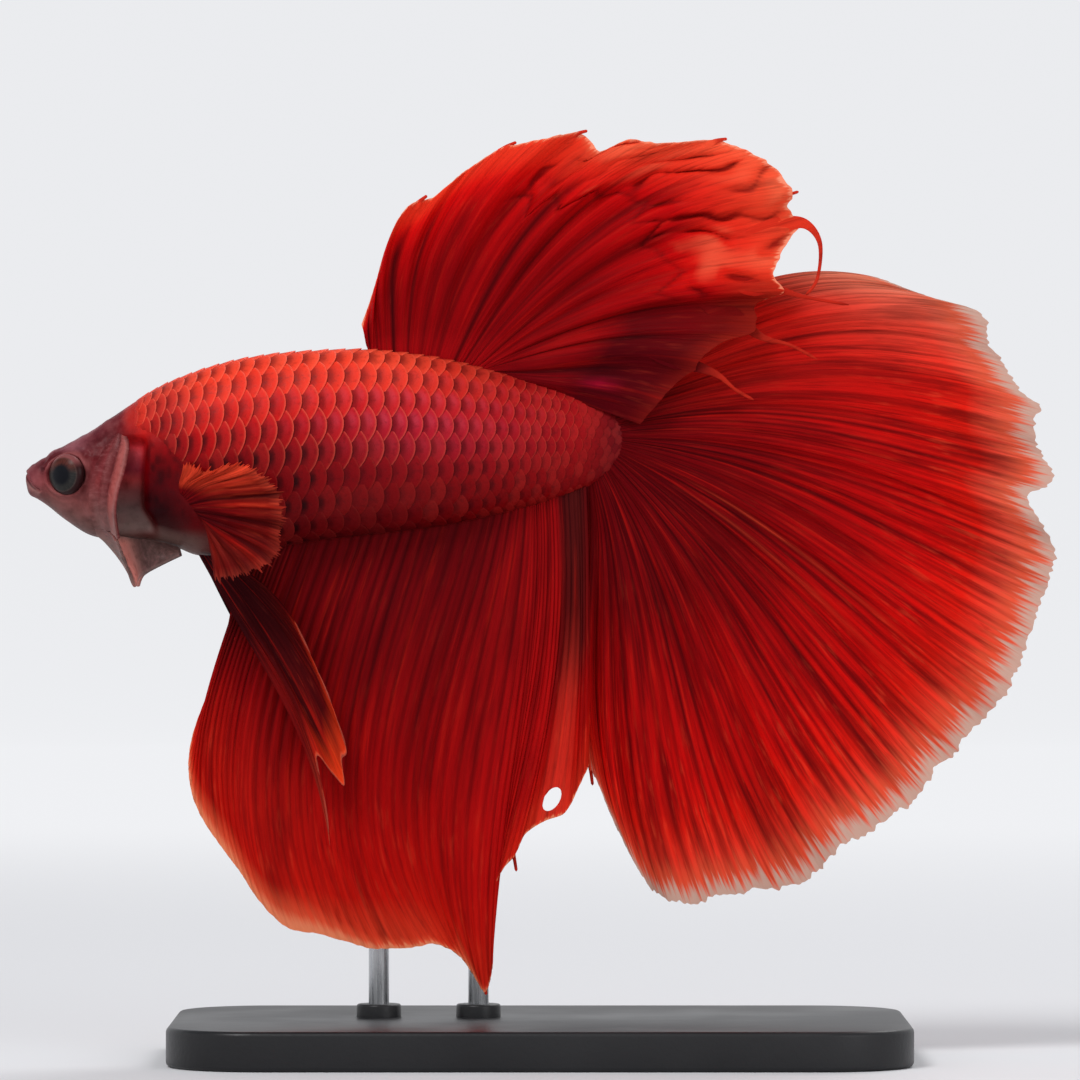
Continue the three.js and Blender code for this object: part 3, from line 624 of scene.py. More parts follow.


# ---- Colours and painted light: one law of colour for skin, scales and gill covers ---------------

# Colours from the belly (0) to the back (1), and in the hollow behind the gill by height.

# The flank and stalk grow lighter towards the back, where the light falls, and darker towards the belly:
# partly the fish's own colour, partly painted light and shade.
FLANK = [
    (0, (84, 5, 9)),
    (0.1, (98, 3, 8)),
    (0.3, (116, 2, 8)),
    (0.42, (122, 2, 8)),
    (0.54, (144, 5, 10)),
    (0.66, (182, 10, 12)),
    (0.8, (220, 40, 26)),
    (0.93, (236, 62, 38)),
    (1, (236, 78, 52)),
]
STALK = [(0, (112, 1, 4)), (0.35, (132, 2, 6)), (0.7, (150, 6, 10)), (0.9, (148, 8, 12)), (1, (128, 6, 8))]
# The dark band low on the shoulder, from 0.13 to 0.36, is a painted shadow of the pectoral fin.
SHOULDER = [
    (0, (114, 92, 86)),
    (0.07, (112, 85, 80)),
    (0.13, (50, 18, 19)),
    (0.2, (40, 2, 6)),
    (0.36, (70, 0, 6)),
    (0.5, (98, 0, 6)),
    (0.65, (136, 10, 14)),
    (0.8, (172, 26, 22)),
    (1, (220, 72, 54)),
]
# The chin's pale grey is darkened as painted shade, and the palest stop at the top is a painted highlight
# along the crown's edge.
HEAD = [
    (0, (108, 82, 78)),
    (0.14, (110, 74, 70)),
    (0.3, (126, 69, 67)),
    (0.5, (124, 53, 55)),
    (0.68, (90, 18, 24)),
    (0.84, (76, 17, 23)),
    (0.93, (96, 34, 42)),
    (1, (162, 108, 118)),
]
# The pale throat and belly, darkened as painted shade.
PALE_BELLY = linear(100, 76, 70)
HOLLOW = [
    (-4.4, (138, 114, 108)),
    (-2.5, (108, 86, 83)),
    (-1.2, (130, 68, 68)),
    (-0.3, (180, 58, 60)),
    (0.4, (136, 34, 50)),
    (1.6, (176, 62, 70)),
    (2.6, (192, 30, 36)),
]
SHEEN = linear(184, 30, 56)
SNOUT_PINK = linear(120, 62, 68)
EYE_SOCKET_SHADOW = linear(46, 18, 18)
TAIL_ROOT = linear(98, 2, 9)


def body_colour_and_painted_light(points):
    """The fish's colour at places on its body, with painted light and shade."""
    x, y, z = points.T
    back, belly, _, _ = hoop_at(np.clip(x, 0.2, 45.8))
    rise = (z - belly) / np.maximum(back - belly, 0.5)
    rise = rise + 0.035 * wander(x * 0.7, z * 0.7, 1)
    flank = mix(ramp(FLANK, rise), ramp(STALK, rise), smooth(25, 41, x))
    # A painted pink sheen along the upper middle of the flank.
    sheen = bump(x - 31, 7) * bump(z - 3.6 + 0.05 * (x - 31), 2.2)
    flank = mix(flank, SHEEN, 0.4 * sheen)
    flank = mix(flank, TAIL_ROOT, smooth(42, 45.5, x))
    blotch = wander(x * 1.1, z * 1.1, 5) + 0.6 * wander(x * 2.6, z * 2.6, 6)
    head = ramp(HEAD, rise)
    crown = smooth(3.6, 7, x) * smooth(0.58, 0.75, rise) * smooth(-0.6, 0.8, blotch)
    head = mix(head, linear(98, 20, 26), 0.5 * crown)
    head = mix(head, SNOUT_PINK, 0.6 * (1 - smooth(0.4, 2.2, x)))
    head = mix(head, linear(148, 88, 96), 0.6 * bump(x - 3.7, 1.1) * smooth(1.5, 2.1, z))
    edge = smooth(7.4 + 0.25 * blotch, 9.3, x + 0.05 * (z - 2))
    colour = mix(head, flank, edge)
    nape = bump(x - 8.6, 0.95) * smooth(2.2, 3.4, z)
    colour = mix(colour, linear(146, 24, 26), 0.7 * nape)
    front = shoulder_front(z)
    shoulder = smooth(front - 0.6, front + 0.3, x) * (1 - smooth(10.8, 14.8, x))
    colour = mix(colour, ramp(SHOULDER, rise), 0.95 * shoulder)
    streak = wander(x * 1.3 + 0.5 * z, z * 0.8, 61) + 0.7 * wander(x * 3.1, z * 1.7, 62)
    bare = shoulder * smooth(0.14, 0.24, rise) * (1 - smooth(0.6, 0.75, rise))
    colour = mix(colour, linear(26, 0, 3), 0.6 * bare * smooth(0.0, 0.9, -streak))
    lit = bare * smooth(0.1, 0.9, streak) * smooth(0.25, 0.5, rise)
    colour = mix(colour, linear(136, 4, 12), 0.5 * lit)
    pale = smooth(6.5, 8, x) * (1 - smooth(12.8, 15.5, x)) * (1 - smooth(-5.1, -3.9, z))
    colour = mix(colour, PALE_BELLY, 0.75 * pale)
    colour = mix(colour, ramp(HOLLOW, z), 0.9 * gill_hollow(x, z))
    for side in (-1, 1):
        _, ring = about_eye(points, side)
        near = (y * side > 0) * 1.0
        # A painted shadow in the socket behind each eye.
        behind = np.hypot((x - EYE["x"] - 1.35) / 0.42, (z - EYE["z"] + 0.1) / 1.0)
        colour = mix(colour, EYE_SOCKET_SHADOW, 0.72 * near * bump(behind, 1))
        colour = mix(colour, linear(138, 72, 72), 0.75 * near * bump(ring - 1.66, 0.14) * smooth(0, 0.9, z))
        # Painted shade in the nostril's pit.
        nostril = np.hypot((x - NOSTRIL[0]) / 0.17, (z - NOSTRIL[1]) / 0.26)
        colour = mix(colour, linear(52, 16, 24), 0.8 * near * bump(nostril, 1))
        # Painted shade in the socket, round the eyeball's edge.
        colour = mix(colour, linear(44, 20, 20), 0.8 * near * (1 - smooth(1.3, 1.48, ring)))
    mouth = near_line(points, MOUTH_LINE)
    lip = (1 - smooth(0.1, 0.5, mouth)) * smooth(0.05, 0.3, -z - 0.85 * x) * (1 - smooth(1.2, 1.8, x))
    colour = mix(colour, linear(140, 104, 98), 0.6 * lip)
    # Painted shade along the crease of the mouth.
    colour = mix(colour, linear(58, 22, 26), 0.8 * bump(mouth, 0.07) * (1 - smooth(0.9, 1.2, x)))
    return np.clip(colour, 0, 1)


# ---- Skin ----------------------------------------------------------------------------------------


def make_skin():
    """The body's skin, with painted shade where the scales hide it."""
    t = np.linspace(0.0012, 0.9985, BODY_RINGS)
    x = along(HOOPS, t)[:, 0]
    angle = np.linspace(0, 2 * math.pi, BODY_SIDES, endpoint=False)
    grid_x, grid_a = (g.ravel() for g in np.meshgrid(x, angle, indexing="ij"))
    points = skin_point(grid_x, grid_a)
    hubs = [points[:BODY_SIDES].mean(0), points[-BODY_SIDES:].mean(0)]
    points, faces = tube(points, BODY_RINGS, hubs)
    shade = body_colour_and_painted_light(points)
    # Painted shade on the skin under the scales.
    shade = mix(shade, 0.35 * shade, smooth(0.8, 2.2, scaled(points[:, 0], points[:, 2])))
    bare = 1 - smooth(6.5, 9.5, points[:, 0])
    return make_piece("body_skin", points, faces, {"bare": bare}, {"marking_and_painted_light": shade})


# ---- Scales --------------------------------------------------------------------------------------

SCALE_ROWS = 9.6  # rows of scales from the back's ridge down to the keel
SCALE_RISE = 0.2  # how far a scale's free edge stands out of the skin
SCALE_ARC = 0.93  # how far the free edge falls back one row from its middle, as a share of the pitch
SCALE_REACH = 0.88  # half a scale's height, as a share of the gap between rows
SCALE_BAKE = 0.02  # width of a scale's patch on the bake map
SCALE_THICK = 0.07
# Distance behind the snout, and how far apart the scales of a row lie there.
SCALE_PITCH = [
    (8.5, 0.62), (11, 0.85), (13.4, 1.05), (16, 1.12), (19, 1.22), (23, 1.28),
    (27, 1.19), (33, 1.14), (36, 0.96), (40, 0.72), (46, 0.55),
]
# Places along a scale, in pitches from the free edge of the scale in front of it.
SCALE_STEPS = [-1, -0.6, -0.3, -0.1, 0, 0.07, 0.16, 0.27, 0.45, 0.65, 0.8, 0.89, 0.95, 1]
SCALE_WIDTH_STEPS = 10

GIRTH_X = np.linspace(6, 46, 321)
GIRTH_ANGLES = np.linspace(math.pi / 2, 1.5 * math.pi, 361)


def girth_table():
    """Distance from the back's ridge down the left flank, for stations and angles."""
    grid_x, grid_a = np.meshgrid(GIRTH_X, GIRTH_ANGLES, indexing="ij")
    ring = body_point(grid_x.ravel(), grid_a.ravel()).reshape(len(GIRTH_X), len(GIRTH_ANGLES), 3)
    steps = np.linalg.norm(np.diff(ring, axis=1), axis=2)
    return np.concatenate([np.zeros((len(GIRTH_X), 1)), np.cumsum(steps, axis=1)], axis=1)


GIRTH = girth_table()


def half_girth(x):
    """Distance from the back's ridge to the keel."""
    return np.interp(x, GIRTH_X, GIRTH[:, -1])


def angle_down(x, distance):
    """Angle at a distance from the back's ridge. A negative distance is on the right flank."""
    spot = np.clip((x - GIRTH_X[0]) / (GIRTH_X[1] - GIRTH_X[0]), 0, len(GIRTH_X) - 1.001)
    i = spot.astype(int)
    f = spot - i
    table = GIRTH[i] * (1 - f)[:, None] + GIRTH[i + 1] * f[:, None]
    reach = np.clip(np.abs(distance), 0, table[:, -1] - 0.01)
    k = np.clip((table < reach[:, None]).sum(axis=1) - 1, 0, len(GIRTH_ANGLES) - 2)
    low = np.take_along_axis(table, k[:, None], 1)[:, 0]
    high = np.take_along_axis(table, k[:, None] + 1, 1)[:, 0]
    step = GIRTH_ANGLES[1] - GIRTH_ANGLES[0]
    a = GIRTH_ANGLES[k] + step * (reach - low) / np.maximum(high - low, 1e-9)
    return np.where(distance < 0, math.pi - a, a)


def scaled(x, z):
    """Above 0 where scales cover the skin, in millimetres from the edge of the covered part."""
    front = 8.4 + 1.1 * (1 - smooth(3.0, 3.8, z)) + np.clip(3.6 - z, 0, 2.8)
    front = front + 2.2 * np.clip(0.8 - z, 0, 1.2) + 1.4 * np.clip(-2.9 - z, 0, 5)
    return np.minimum(x - front, 45.7 - x)


def scale_roots(side):
    """Middle of each scale's free edge, its row and its column, on one flank."""
    roots = []
    x = 8.8
    column = 0
    while x < 45.9:
        pitch = float(np.interp(x, *zip(*SCALE_PITCH)))
        for row in range(0 if side < 0 else 1, int(SCALE_ROWS) + 1):
            if (row + column) % 2 == 0:
                roots.append((x, -side * row, pitch, column, row))
        x += pitch / 2
        column += 1
    return np.array(roots, float)


def scale_faces(shape):
    """Faces of closed scales whose upper points are numbered by scale, by step along it and by step
    across it. Also the numbers of the points round the scales' edges, which the undersides repeat."""
    index = np.arange(np.prod(shape)).reshape(shape)
    a, b = index[:, :-1, :-1], index[:, 1:, :-1]
    c, d = index[:, 1:, 1:], index[:, :-1, 1:]
    quads = np.stack([a, d, c, b], axis=-1).reshape(-1, 4)
    sides = [index[:, :-1, 0], index[:, -1, :-1], index[:, :0:-1, -1], index[:, 0, :0:-1]]
    loop = np.concatenate(sides, axis=1)
    under = index.size + np.arange(loop.size).reshape(loop.shape)
    walls = np.stack([loop, np.roll(loop, -1, 1), np.roll(under, -1, 1), under], axis=-1)
    return [quads, walls.reshape(-1, 4), under[:, ::-1]], loop.ravel()


def scale_tone_and_painted_light(xi, eta, x, z, tall, cover, inside, cell):
    """What the scales' look reads: rims partly paler and partly painted highlight, painted shadows behind
    the edges ahead, painted shade on the covered fronts, a painted glint, and each one's tone.
    """
    # A painted shadow just behind the free edge of the scale in front.
    slit_shadow = smooth(-0.1, 0.0, xi) * (1 - smooth(0.2, 0.44, xi)) * bump(tall, 0.6)
    flank = 1 - smooth(1.5, 4.5, z)
    strong = 0.3 + 0.7 * flank * (1 - smooth(22.5, 26.5, x)) + 0.3 * flank * bump(x - 35.5, 2.5)
    strong = strong * (0.7 + 0.3 * hashed(*cell, 5)) * (1 - smooth(40, 44, x)) * cover
    clear = cover * (1 - smooth(40.5, 44.5, x))
    # The rim is partly a paler edge and partly a painted highlight, strongest towards the back, where the
    # light falls.
    rim = smooth(0.86, 0.96, xi) * (0.06 + 0.94 * smooth(-0.5, 3.5, z))
    # Painted shade on each scale's front, where the scale ahead covers it.
    front = (1 - smooth(0, 0.85, xi)) * clear * (1 - 0.5 * smooth(32, 40, x))
    return {
        "rim": rim * (1 - 0.6 * smooth(25, 36, x)) * clear,
        "slit_shadow": slit_shadow * strong,
        "front": front * (0.5 + 0.5 * smooth(-1, 2.5, z)) * smooth(0.2, 1.6, inside),
        # A painted glint near the middle of the scales on the upper flank.
        "glint": bump(xi - 0.55, 0.25) * bump(eta + 0.2, 0.35) * bump(x - 29, 8) * bump(z - 4.6, 2.2),
        "tone": hashed(*cell, 3),
    }


def scale_patches(roots, xi, eta):
    """Each scale's own patch of the bake map. The patches lie as the scales do on the flank."""
    across = 0.02 + 0.95 * (np.repeat(roots[:, 0], xi.size) - 8.6) / 38
    up = 0.5 + 0.47 * np.repeat(roots[:, 1] / SCALE_ROWS, xi.size)
    across = across + SCALE_BAKE * np.tile((xi / 2).ravel(), len(roots))
    return np.stack([across, up + SCALE_BAKE * np.tile((eta / 2).ravel(), len(roots))], axis=1)


def make_scales(name, side):
    """Every scale of one flank as its own closed shell. xi runs along a scale and eta across it."""
    xi, eta = np.meshgrid(SCALE_STEPS, np.linspace(-1, 1, SCALE_WIDTH_STEPS), indexing="ij")
    roots = scale_roots(side)
    gap = half_girth(roots[:, 0]) / SCALE_ROWS
    where = body_point(roots[:, 0], angle_down(roots[:, 0], roots[:, 1] * gap))
    keep = scaled(where[:, 0], where[:, 2]) > 0
    roots, where = roots[keep], where[keep]
    shape = (len(roots), *xi.shape)
    x, row, pitch, column, number = (c[:, None, None] for c in roots.T)
    offset = SCALE_REACH * eta
    wobble = 0.04 * (hashed(column, number, 1) - 0.5)
    place_x = np.clip(x + pitch * (xi - 1) - SCALE_ARC * pitch * offset**2 + wobble, 6.5, 46.1)
    place_d = (row + offset + wobble) * half_girth(place_x) / SCALE_ROWS
    flat_x, flat_d = place_x.ravel(), place_d.ravel()
    angle = angle_down(flat_x, flat_d)
    ground = body_point(flat_x, angle)
    normal = body_normal(flat_x, angle)
    ground = ground + normal * skin_relief(ground)[:, None]
    tilt = (xi + 1) / 2
    size = pitch / 1.28
    size = size * (0.5 + 0.5 * smooth(-4.5, 4, where[:, 2][:, None, None]))
    lift = SCALE_RISE * size * tilt + 0.03 * tilt * (1 - eta**2) - 0.03
    lift = lift - 0.13 * smooth(0.5, 1, np.abs(eta)) * size
    lift = lift + 0.015 * (hashed(column, number, 2) - 0.5)
    fade = 0.9 + 1.4 * (1 - smooth(1, 4, where[:, 2]))
    cover = smooth(0, 1, scaled(where[:, 0], where[:, 2]) / fade)[:, None, None]
    inside = scaled(ground[:, 0], ground[:, 2]).reshape(shape)
    own = smooth(-0.5, 0.3, inside)
    lift = lift * (0.2 + 0.8 * cover) * own - 0.3 * (1 - own)
    top = ground + normal * lift.reshape(-1, 1)
    bottom = ground + normal * (lift.reshape(-1, 1) - SCALE_THICK)
    faces, edge = scale_faces(shape)
    points = np.concatenate([top, bottom[edge]])
    z = where[:, 2][:, None, None]
    tall = eta * SCALE_REACH * gap[keep][:, None, None]
    values = scale_tone_and_painted_light(xi, eta, x, z, tall, cover, inside, (column, number))
    both = np.append(np.arange(len(top)), edge)
    values = {key: np.broadcast_to(value, shape).ravel()[both] for key, value in values.items()}
    shade = body_colour_and_painted_light(0.5 * (ground + np.repeat(where, xi.size, axis=0)))[both]
    bake = scale_patches(roots, xi, eta)[both]
    return make_piece(name, points, faces, values, {"marking_and_painted_light": shade}, bake)


# ---- Eyes ----------------------------------------------------------------------------------------

CORNEA = 0.07  # how far the clear bulge stands out over the pupil
EYE_SLACK = 0.03  # how much smaller than its socket the eyeball is


def make_eye(name, side):
    """An eyeball, flattened along the way it looks, with a clear bulge over its pupil."""
    middle, look = eye_frame(side)
    rings, sides = 60, 96
    sweep = np.linspace(0.001, math.pi - 0.001, rings)
    angle = np.linspace(0, 2 * math.pi, sides, endpoint=False)
    grid_s, grid_a = (g.ravel() for g in np.meshgrid(sweep, angle, indexing="ij"))
    across = unit(np.cross(look, [0, 0, 1]))
    radius, depth = EYE["radius"] - EYE_SLACK, EYE["depth"]
    ring = np.sin(grid_s)
    cornea = CORNEA * bump(ring * radius, 0.75) * (np.cos(grid_s) > 0)
    points = (
        middle
        + radius * (ring * np.cos(grid_a))[:, None] * across
        + radius * (ring * np.sin(grid_a))[:, None] * np.array([0, 0, 1])
        + (depth * np.cos(grid_s) + cornea)[:, None] * look
    )
    points, faces = tube(points, rings, [middle + (depth + CORNEA) * look, middle - depth * look])
    faces = [np.roll(f[:, ::-1], 1, axis=1) for f in faces]
    values = {
        "ring": np.append(np.where(np.cos(grid_s) > 0, ring, 1.2), [0, 1.2]),
        "turn": np.append(grid_a / (2 * math.pi), [0, 0]),
        "lift": np.append(ring * np.sin(grid_a), [0, 0]),
    }
    return make_piece(name, points, faces, values)


# ---- Gill covers and throat membranes ------------------------------------------------------------


def make_flap(rows, side, thickness, ridges, runs, columns=120, steps=70):
    """A flap from its hinge, inside the skin, to its free edge: points, faces, and both shares."""
    u, v = np.meshgrid(np.linspace(0, 1, columns), np.linspace(0, 1, steps), indexing="ij")
    turned = smooth(0, 0.4, u)
    leaves, arrives = (mix(*(np.array(run) * [1, side, 1] for run in pair), turned) for pair in runs)
    hinge_x0, hinge_z, edge_x, edge_y, edge_z = np.moveaxis(along(rows, u), -1, 0)
    hinge_y = flank_at(hinge_x0, hinge_z) - SKIN_DEPTH - 0.12
    hinge = np.stack([hinge_x0, side * np.maximum(hinge_y, 0.05), hinge_z], axis=-1)
    edge = np.stack([edge_x, side * edge_y, edge_z], axis=-1)
    chord = np.linalg.norm(edge - hinge, axis=-1, keepdims=True)
    first = hinge + unit(leaves) * chord * 0.3
    last = edge - unit(arrives) * chord * 0.35
    middle = bezier(hinge, first, last, edge, v)
    normal = unit(np.cross(np.gradient(middle, axis=0), np.gradient(middle, axis=1)))
    outward = normal * np.where(normal[..., 1:2] * side < 0, -1, 1)
    wave = ridges(u, v)[..., None]
    half = thickness / 2 * (1 - 0.35 * smooth(0.94, 1, v))[..., None]
    points, faces = shell(middle + outward * (half + wave), middle - outward * (half - 0.4 * wave))
    return points, faces, np.tile(u.ravel(), 2), np.tile(v.ravel(), 2)


def gill_ridges(u, v):
    """The bone's edge, the folds of skin and the rolled rim of a gill cover."""
    ridge = 0.08 * bump(v - 0.32, 0.07) - 0.07 * bump(v - 0.47, 0.05)
    rim = 0.07 * bump(v - 0.74, 0.15) * smooth(0.05, 0.25, u)
    return ridge + rim + 0.018 * wander(u * 7, v * 5, 11)


def beard_ridges(u, v):
    """The rays that stiffen the throat membrane."""
    rays = 0.05 * np.abs(np.cos(math.pi * 5.5 * u)) ** 6 * (1 - smooth(0.9, 1, v))
    return rays + 0.015 * wander(u * 12, v * 3, 12)


# The dark stop at 0.46 is painted shade in the groove behind the bone's edge.
GILL_SHADES = [
    (0, (116, 52, 52)),
    (0.2, (118, 48, 50)),
    (0.33, (118, 54, 55)),
    (0.46, (100, 34, 37)),
    (0.56, (140, 64, 62)),
    (0.66, (168, 79, 75)),
    (0.82, (172, 85, 80)),
    (0.95, (166, 92, 88)),
    (1, (140, 78, 75)),
]
GILL_PALE = linear(124, 92, 87)
BEARD_SHADES = [(0, (134, 108, 101)), (0.7, (116, 92, 86)), (1, (100, 82, 78))]
# The ways in which a flap leaves its hinge, then the ways in which it reaches its edge: at its first
# row, and farther along it.
GILL_RUNS = [((0.95, 0.35, -0.05), (0.95, 0.35, -0.05)), ((0.12, 1.0, -0.25), (0.12, 1.0, -0.25))]
BEARD_RUNS = [((0.95, 0.35, -0.05), (0.02, 0.5, -0.85)), ((0.12, 1.0, -0.25), (0.1, 0.25, -1.0))]


def make_gill_cover(name, side):
    points, faces, u, v = make_flap(GILL_ROWS, side, 0.3, gill_ridges, GILL_RUNS)
    inner = np.arange(len(points)) >= len(points) // 2
    shade = ramp(GILL_SHADES, v + 0.03 * wander(u * 6, 0, 13))
    shade = mix(shade, GILL_PALE, 0.65 * smooth(0.62, 1, u))
    shade = mix(shade, linear(96, 16, 22), 0.9 * inner)
    shade = mix(shade, body_colour_and_painted_light(points), (1 - smooth(0, 0.3, v)) * ~inner)
    return finish_shell(name, points, faces, {"along": u, "out": v}, {"marking_and_painted_light": shade})


def make_throat_membrane(name, side):
    rows = np.array(BEARD_ROWS)
    rows[:, 1] += BEARD_LIFT
    points, faces, u, v = make_flap(rows, side, 0.2, beard_ridges, BEARD_RUNS)
    shade = mix(ramp(BEARD_SHADES, v), linear(88, 60, 58), 0.75 * smooth(0.52, 0.66, u))
    shade = mix(shade, mix(ramp(GILL_SHADES, v), GILL_PALE, 0.65), 1 - smooth(0.03, 0.25, u))
    streak = bump(u - 0.5 + 0.05 * v, 0.105) * smooth(-0.1, 0.2, v)
    shade = mix(shade, linear(232, 142, 130), 0.95 * streak)
    shade = mix(shade, linear(150, 122, 116), 0.6 * bump(u - 0.36 + 0.05 * v, 0.03))
    shade = mix(shade, linear(130, 104, 98), 0.5 * smooth(0.9, 0.98, v))
    return finish_shell(name, points, faces, {"along": u, "out": v}, {"marking_and_painted_light": shade})


def finish_shell(name, points, faces, values=None, colours=None):
    """A closed shell as a piece, with its faces turned outwards."""
    volume = 0.0
    for f in faces:
        for k in range(1, f.shape[1] - 1):
            corner = np.cross(points[f[:, k]], points[f[:, k + 1]])
            volume += np.einsum("ij,ij->i", points[f[:, 0]], corner).sum()
    if volume < 0:
        faces = [f[:, ::-1] for f in faces]
    piece = make_piece(name, points, faces, values, colours)
    piece.data.set_sharp_from_angle(angle=SHARP_EDGE)
    return piece


# ---- Fins ----------------------------------------------------------------------------------------


def fin_root(kind, share):
    """A place on the line where a fin leaves the body, a little inside the skin."""
    line = BASE_LINES[kind]
    start, end = np.atleast_1d(line["from"]), np.atleast_1d(line["to"])
    first, second = start[0] + (end[0] - start[0]) * share, start[-1] + (end[-1] - start[-1]) * share
    if kind == "dorsal":
        return np.stack([first, 0 * first, hoop_at(first)[0] - 0.3], axis=-1)
    if kind == "anal":
        return np.stack([first, 0 * first, hoop_at(first)[1] + 0.3], axis=-1)
    if kind == "caudal":
        angle = np.radians(first)
        radius = line["radius"] - 1.2
        x, z = line["x"] + radius * np.cos(angle), line["z"] + radius * np.sin(angle)
        return np.stack([x, 0 * angle, z], axis=-1)
    if kind == "pectoral":
        return np.stack([first, flank_at(first, second) + 0.12, second], axis=-1)
    return np.stack([first, second, hoop_at(first)[1] + 0.25], axis=-1)


def fin_point(kind, rays, side, u, v):
    """A place on a fin: u from the first ray to the last, v from a ray's root to its tip."""
    share, tip_x, tip_z, leaves, reaches, root_aside, tip_aside = np.moveaxis(along(rays, u), -1, 0)
    start = fin_root(kind, share)
    start[..., 1] += root_aside
    end = np.stack([tip_x, start[..., 1] + tip_aside - root_aside, tip_z], axis=-1)
    pull = HANDLE * np.linalg.norm(end - start, axis=-1)
    third = (end[..., 1] - start[..., 1]) / 3
    leaves, reaches = np.radians(leaves), np.radians(reaches)
    first = start + np.stack([pull * np.cos(leaves), third, pull * np.sin(leaves)], axis=-1)
    last = end - np.stack([pull * np.cos(reaches), third, pull * np.sin(reaches)], axis=-1)
    point = bezier(start, first, last, end, v)
    fold = FOLDS[kind]
    point[..., 1] += fold["height"] * v * np.sin(2 * math.pi * (fold["count"] * u + fold["start"]))
    point[..., 1] *= side
    return point


def evenly(kind, rays, side, count):
    """Values of u that lie evenly along the fin's outer half, and their places from 0 to 1."""
    u = np.linspace(0, 1, 3000)
    outer = fin_point(kind, rays, side, u, np.full_like(u, 0.8))[:, [0, 2]]
    steps = np.linalg.norm(np.diff(outer, axis=0), axis=1)
    length = np.append(0, np.cumsum(steps))
    spread = np.linspace(0, 1, count)
    return np.interp(spread * length[-1], length, u), spread, length[-1]


def ray_pattern(spread, reach, rays, forks):
    """1 on a ray and 0 between rays. The rays fork in two at each of the places in forks."""
    wobble = 0.12 * wander(spread * rays * 0.9, reach * 2.5, 21)
    level = 0.5 - 0.5 * np.cos(2 * math.pi * (rays * spread + wobble))
    for k, fork in enumerate(forks):
        rays = rays * 2
        finer = 0.5 - 0.5 * np.cos(2 * math.pi * (rays * spread + wobble * (k + 2)))
        late = 0.05 * wander(spread * rays * 0.5, 0, 30 + k)
        level = level + (finer - level) * smooth(fork - 0.07 + late, fork + 0.07 + late, reach)
    return level


# rays: how many leave the root; forks: where along them each splits in two; columns and rows: of the
# mesh; half: half the membrane's thickness; ridge: how far a ray stands out; pleat: depth of the
# pleats; spikes: how far the rays' tips stand out; fringe: how ragged the edge is along it; creases:
# sets of dark lines, as how many, shift, width, where along a ray they start and end to fade, strength;
# margin: how wide the pale margin is along the edge. A profile's pairs are (place, value).
# The creases' dark lines are painted shade.
FINS = {
    "dorsal": {
        "rays": 28, "forks": (0.5, 0.8), "columns": 640, "rows": 66,
        "half": 0.04, "ridge": 0.04, "pleat": 0.2, "spikes": 0,
        "fringe": [(0, 0.1), (0.1, 0.5), (0.3, 0.8), (0.6, 0.9), (0.8, 0.4), (1, 0.2)],
        "creases": [(14.3, -0.36, 0.5, 0.6, 0.85, 0.85), (43, 0, 0.16, 0.6, 0.9, 0.3)],
        "margin": [(0, 0.4), (0.3, 0.6), (0.4, 1), (0.7, 1), (0.76, 0.3), (0.8, 0.05), (1, 0.05)],
    },
    "caudal": {
        "rays": 22, "forks": (0.25, 0.6), "columns": 740, "rows": 62,
        "half": 0.04, "ridge": 0.045, "pleat": 0.14, "spikes": 0.2,
        "fringe": [(0, 0.3), (0.06, 1.3), (0.88, 1.3), (0.95, 0.3), (1, 0.1)],
        "creases": [
            (19, 0.2, 0.34, 0.75, 1.05, 0.6), (52, 0, 0.2, 0.85, 1.1, 0.62),
            (110, 0, 0.1, 0.9, 1.1, 0.4),
        ],
        "margin": [
            (0, 0.5), (0.05, 0.9), (0.2, 1.2), (0.28, 0.9), (0.5, 1.1), (0.75, 1), (0.93, 0.9),
            (0.97, 0.3), (1, 0.1),
        ],
    },
    "anal": {
        "rays": 60, "forks": (), "columns": 660, "rows": 66,
        "half": 0.04, "ridge": 0.04, "pleat": 0.05, "spikes": 0,
        "fringe": [(0, 0.05), (0.14, 0.15), (0.3, 0.5), (0.6, 0.5), (0.66, 0.8), (0.7, 0.15), (1, 0.1)],
        "creases": [
            (60, 0, 0.17, 0.25, 0.8, 0.6), (13, 0.3, 0.6, 0.4, 1.0, 0.4),
            (120, 0, 0.1, 0.8, 1.0, 0.2),
        ],
        "margin": [
            (0, 0.1), (0.1, 0.3), (0.18, 2), (0.3, 5), (0.42, 3), (0.5, 1), (0.6, 0.6), (0.635, 4),
            (0.66, 1), (0.7, 0.2), (1, 0.3),
        ],
    },
    "pectoral": {
        "rays": 14, "forks": (0.5, 0.86), "columns": 520, "rows": 80,
        "half": 0.03, "ridge": 0.05, "pleat": 0.1, "spikes": 0.5,
        "fringe": [(0, 0.6), (0.1, 1.3), (0.35, 1.6), (0.75, 1.3), (1, 0.8)],
        "creases": [
            (14, 0.5, 0.26, 0.85, 1.2, 0.75), (8, 0.2, 0.4, 0.9, 1.1, 0.5),
            (34, 0, 0.1, 1, 1.3, 0.4),
        ],
        "margin": [(0, 0.05), (1, 0.05)],
    },
    "pelvic": {
        "rays": 6, "forks": (), "columns": 140, "rows": 130,
        "half": 0.05, "ridge": 0.07, "pleat": 0.07, "spikes": 0,
        "fringe": [(0, 0), (1, 0.3)],
        "creases": [(6, 0.5, 0.6, 0.85, 1.0, 0.75), (17, 0, 0.35, 0.8, 1.0, 0.5)],
        "margin": [(0, 1), (1, 1)],
    },
}
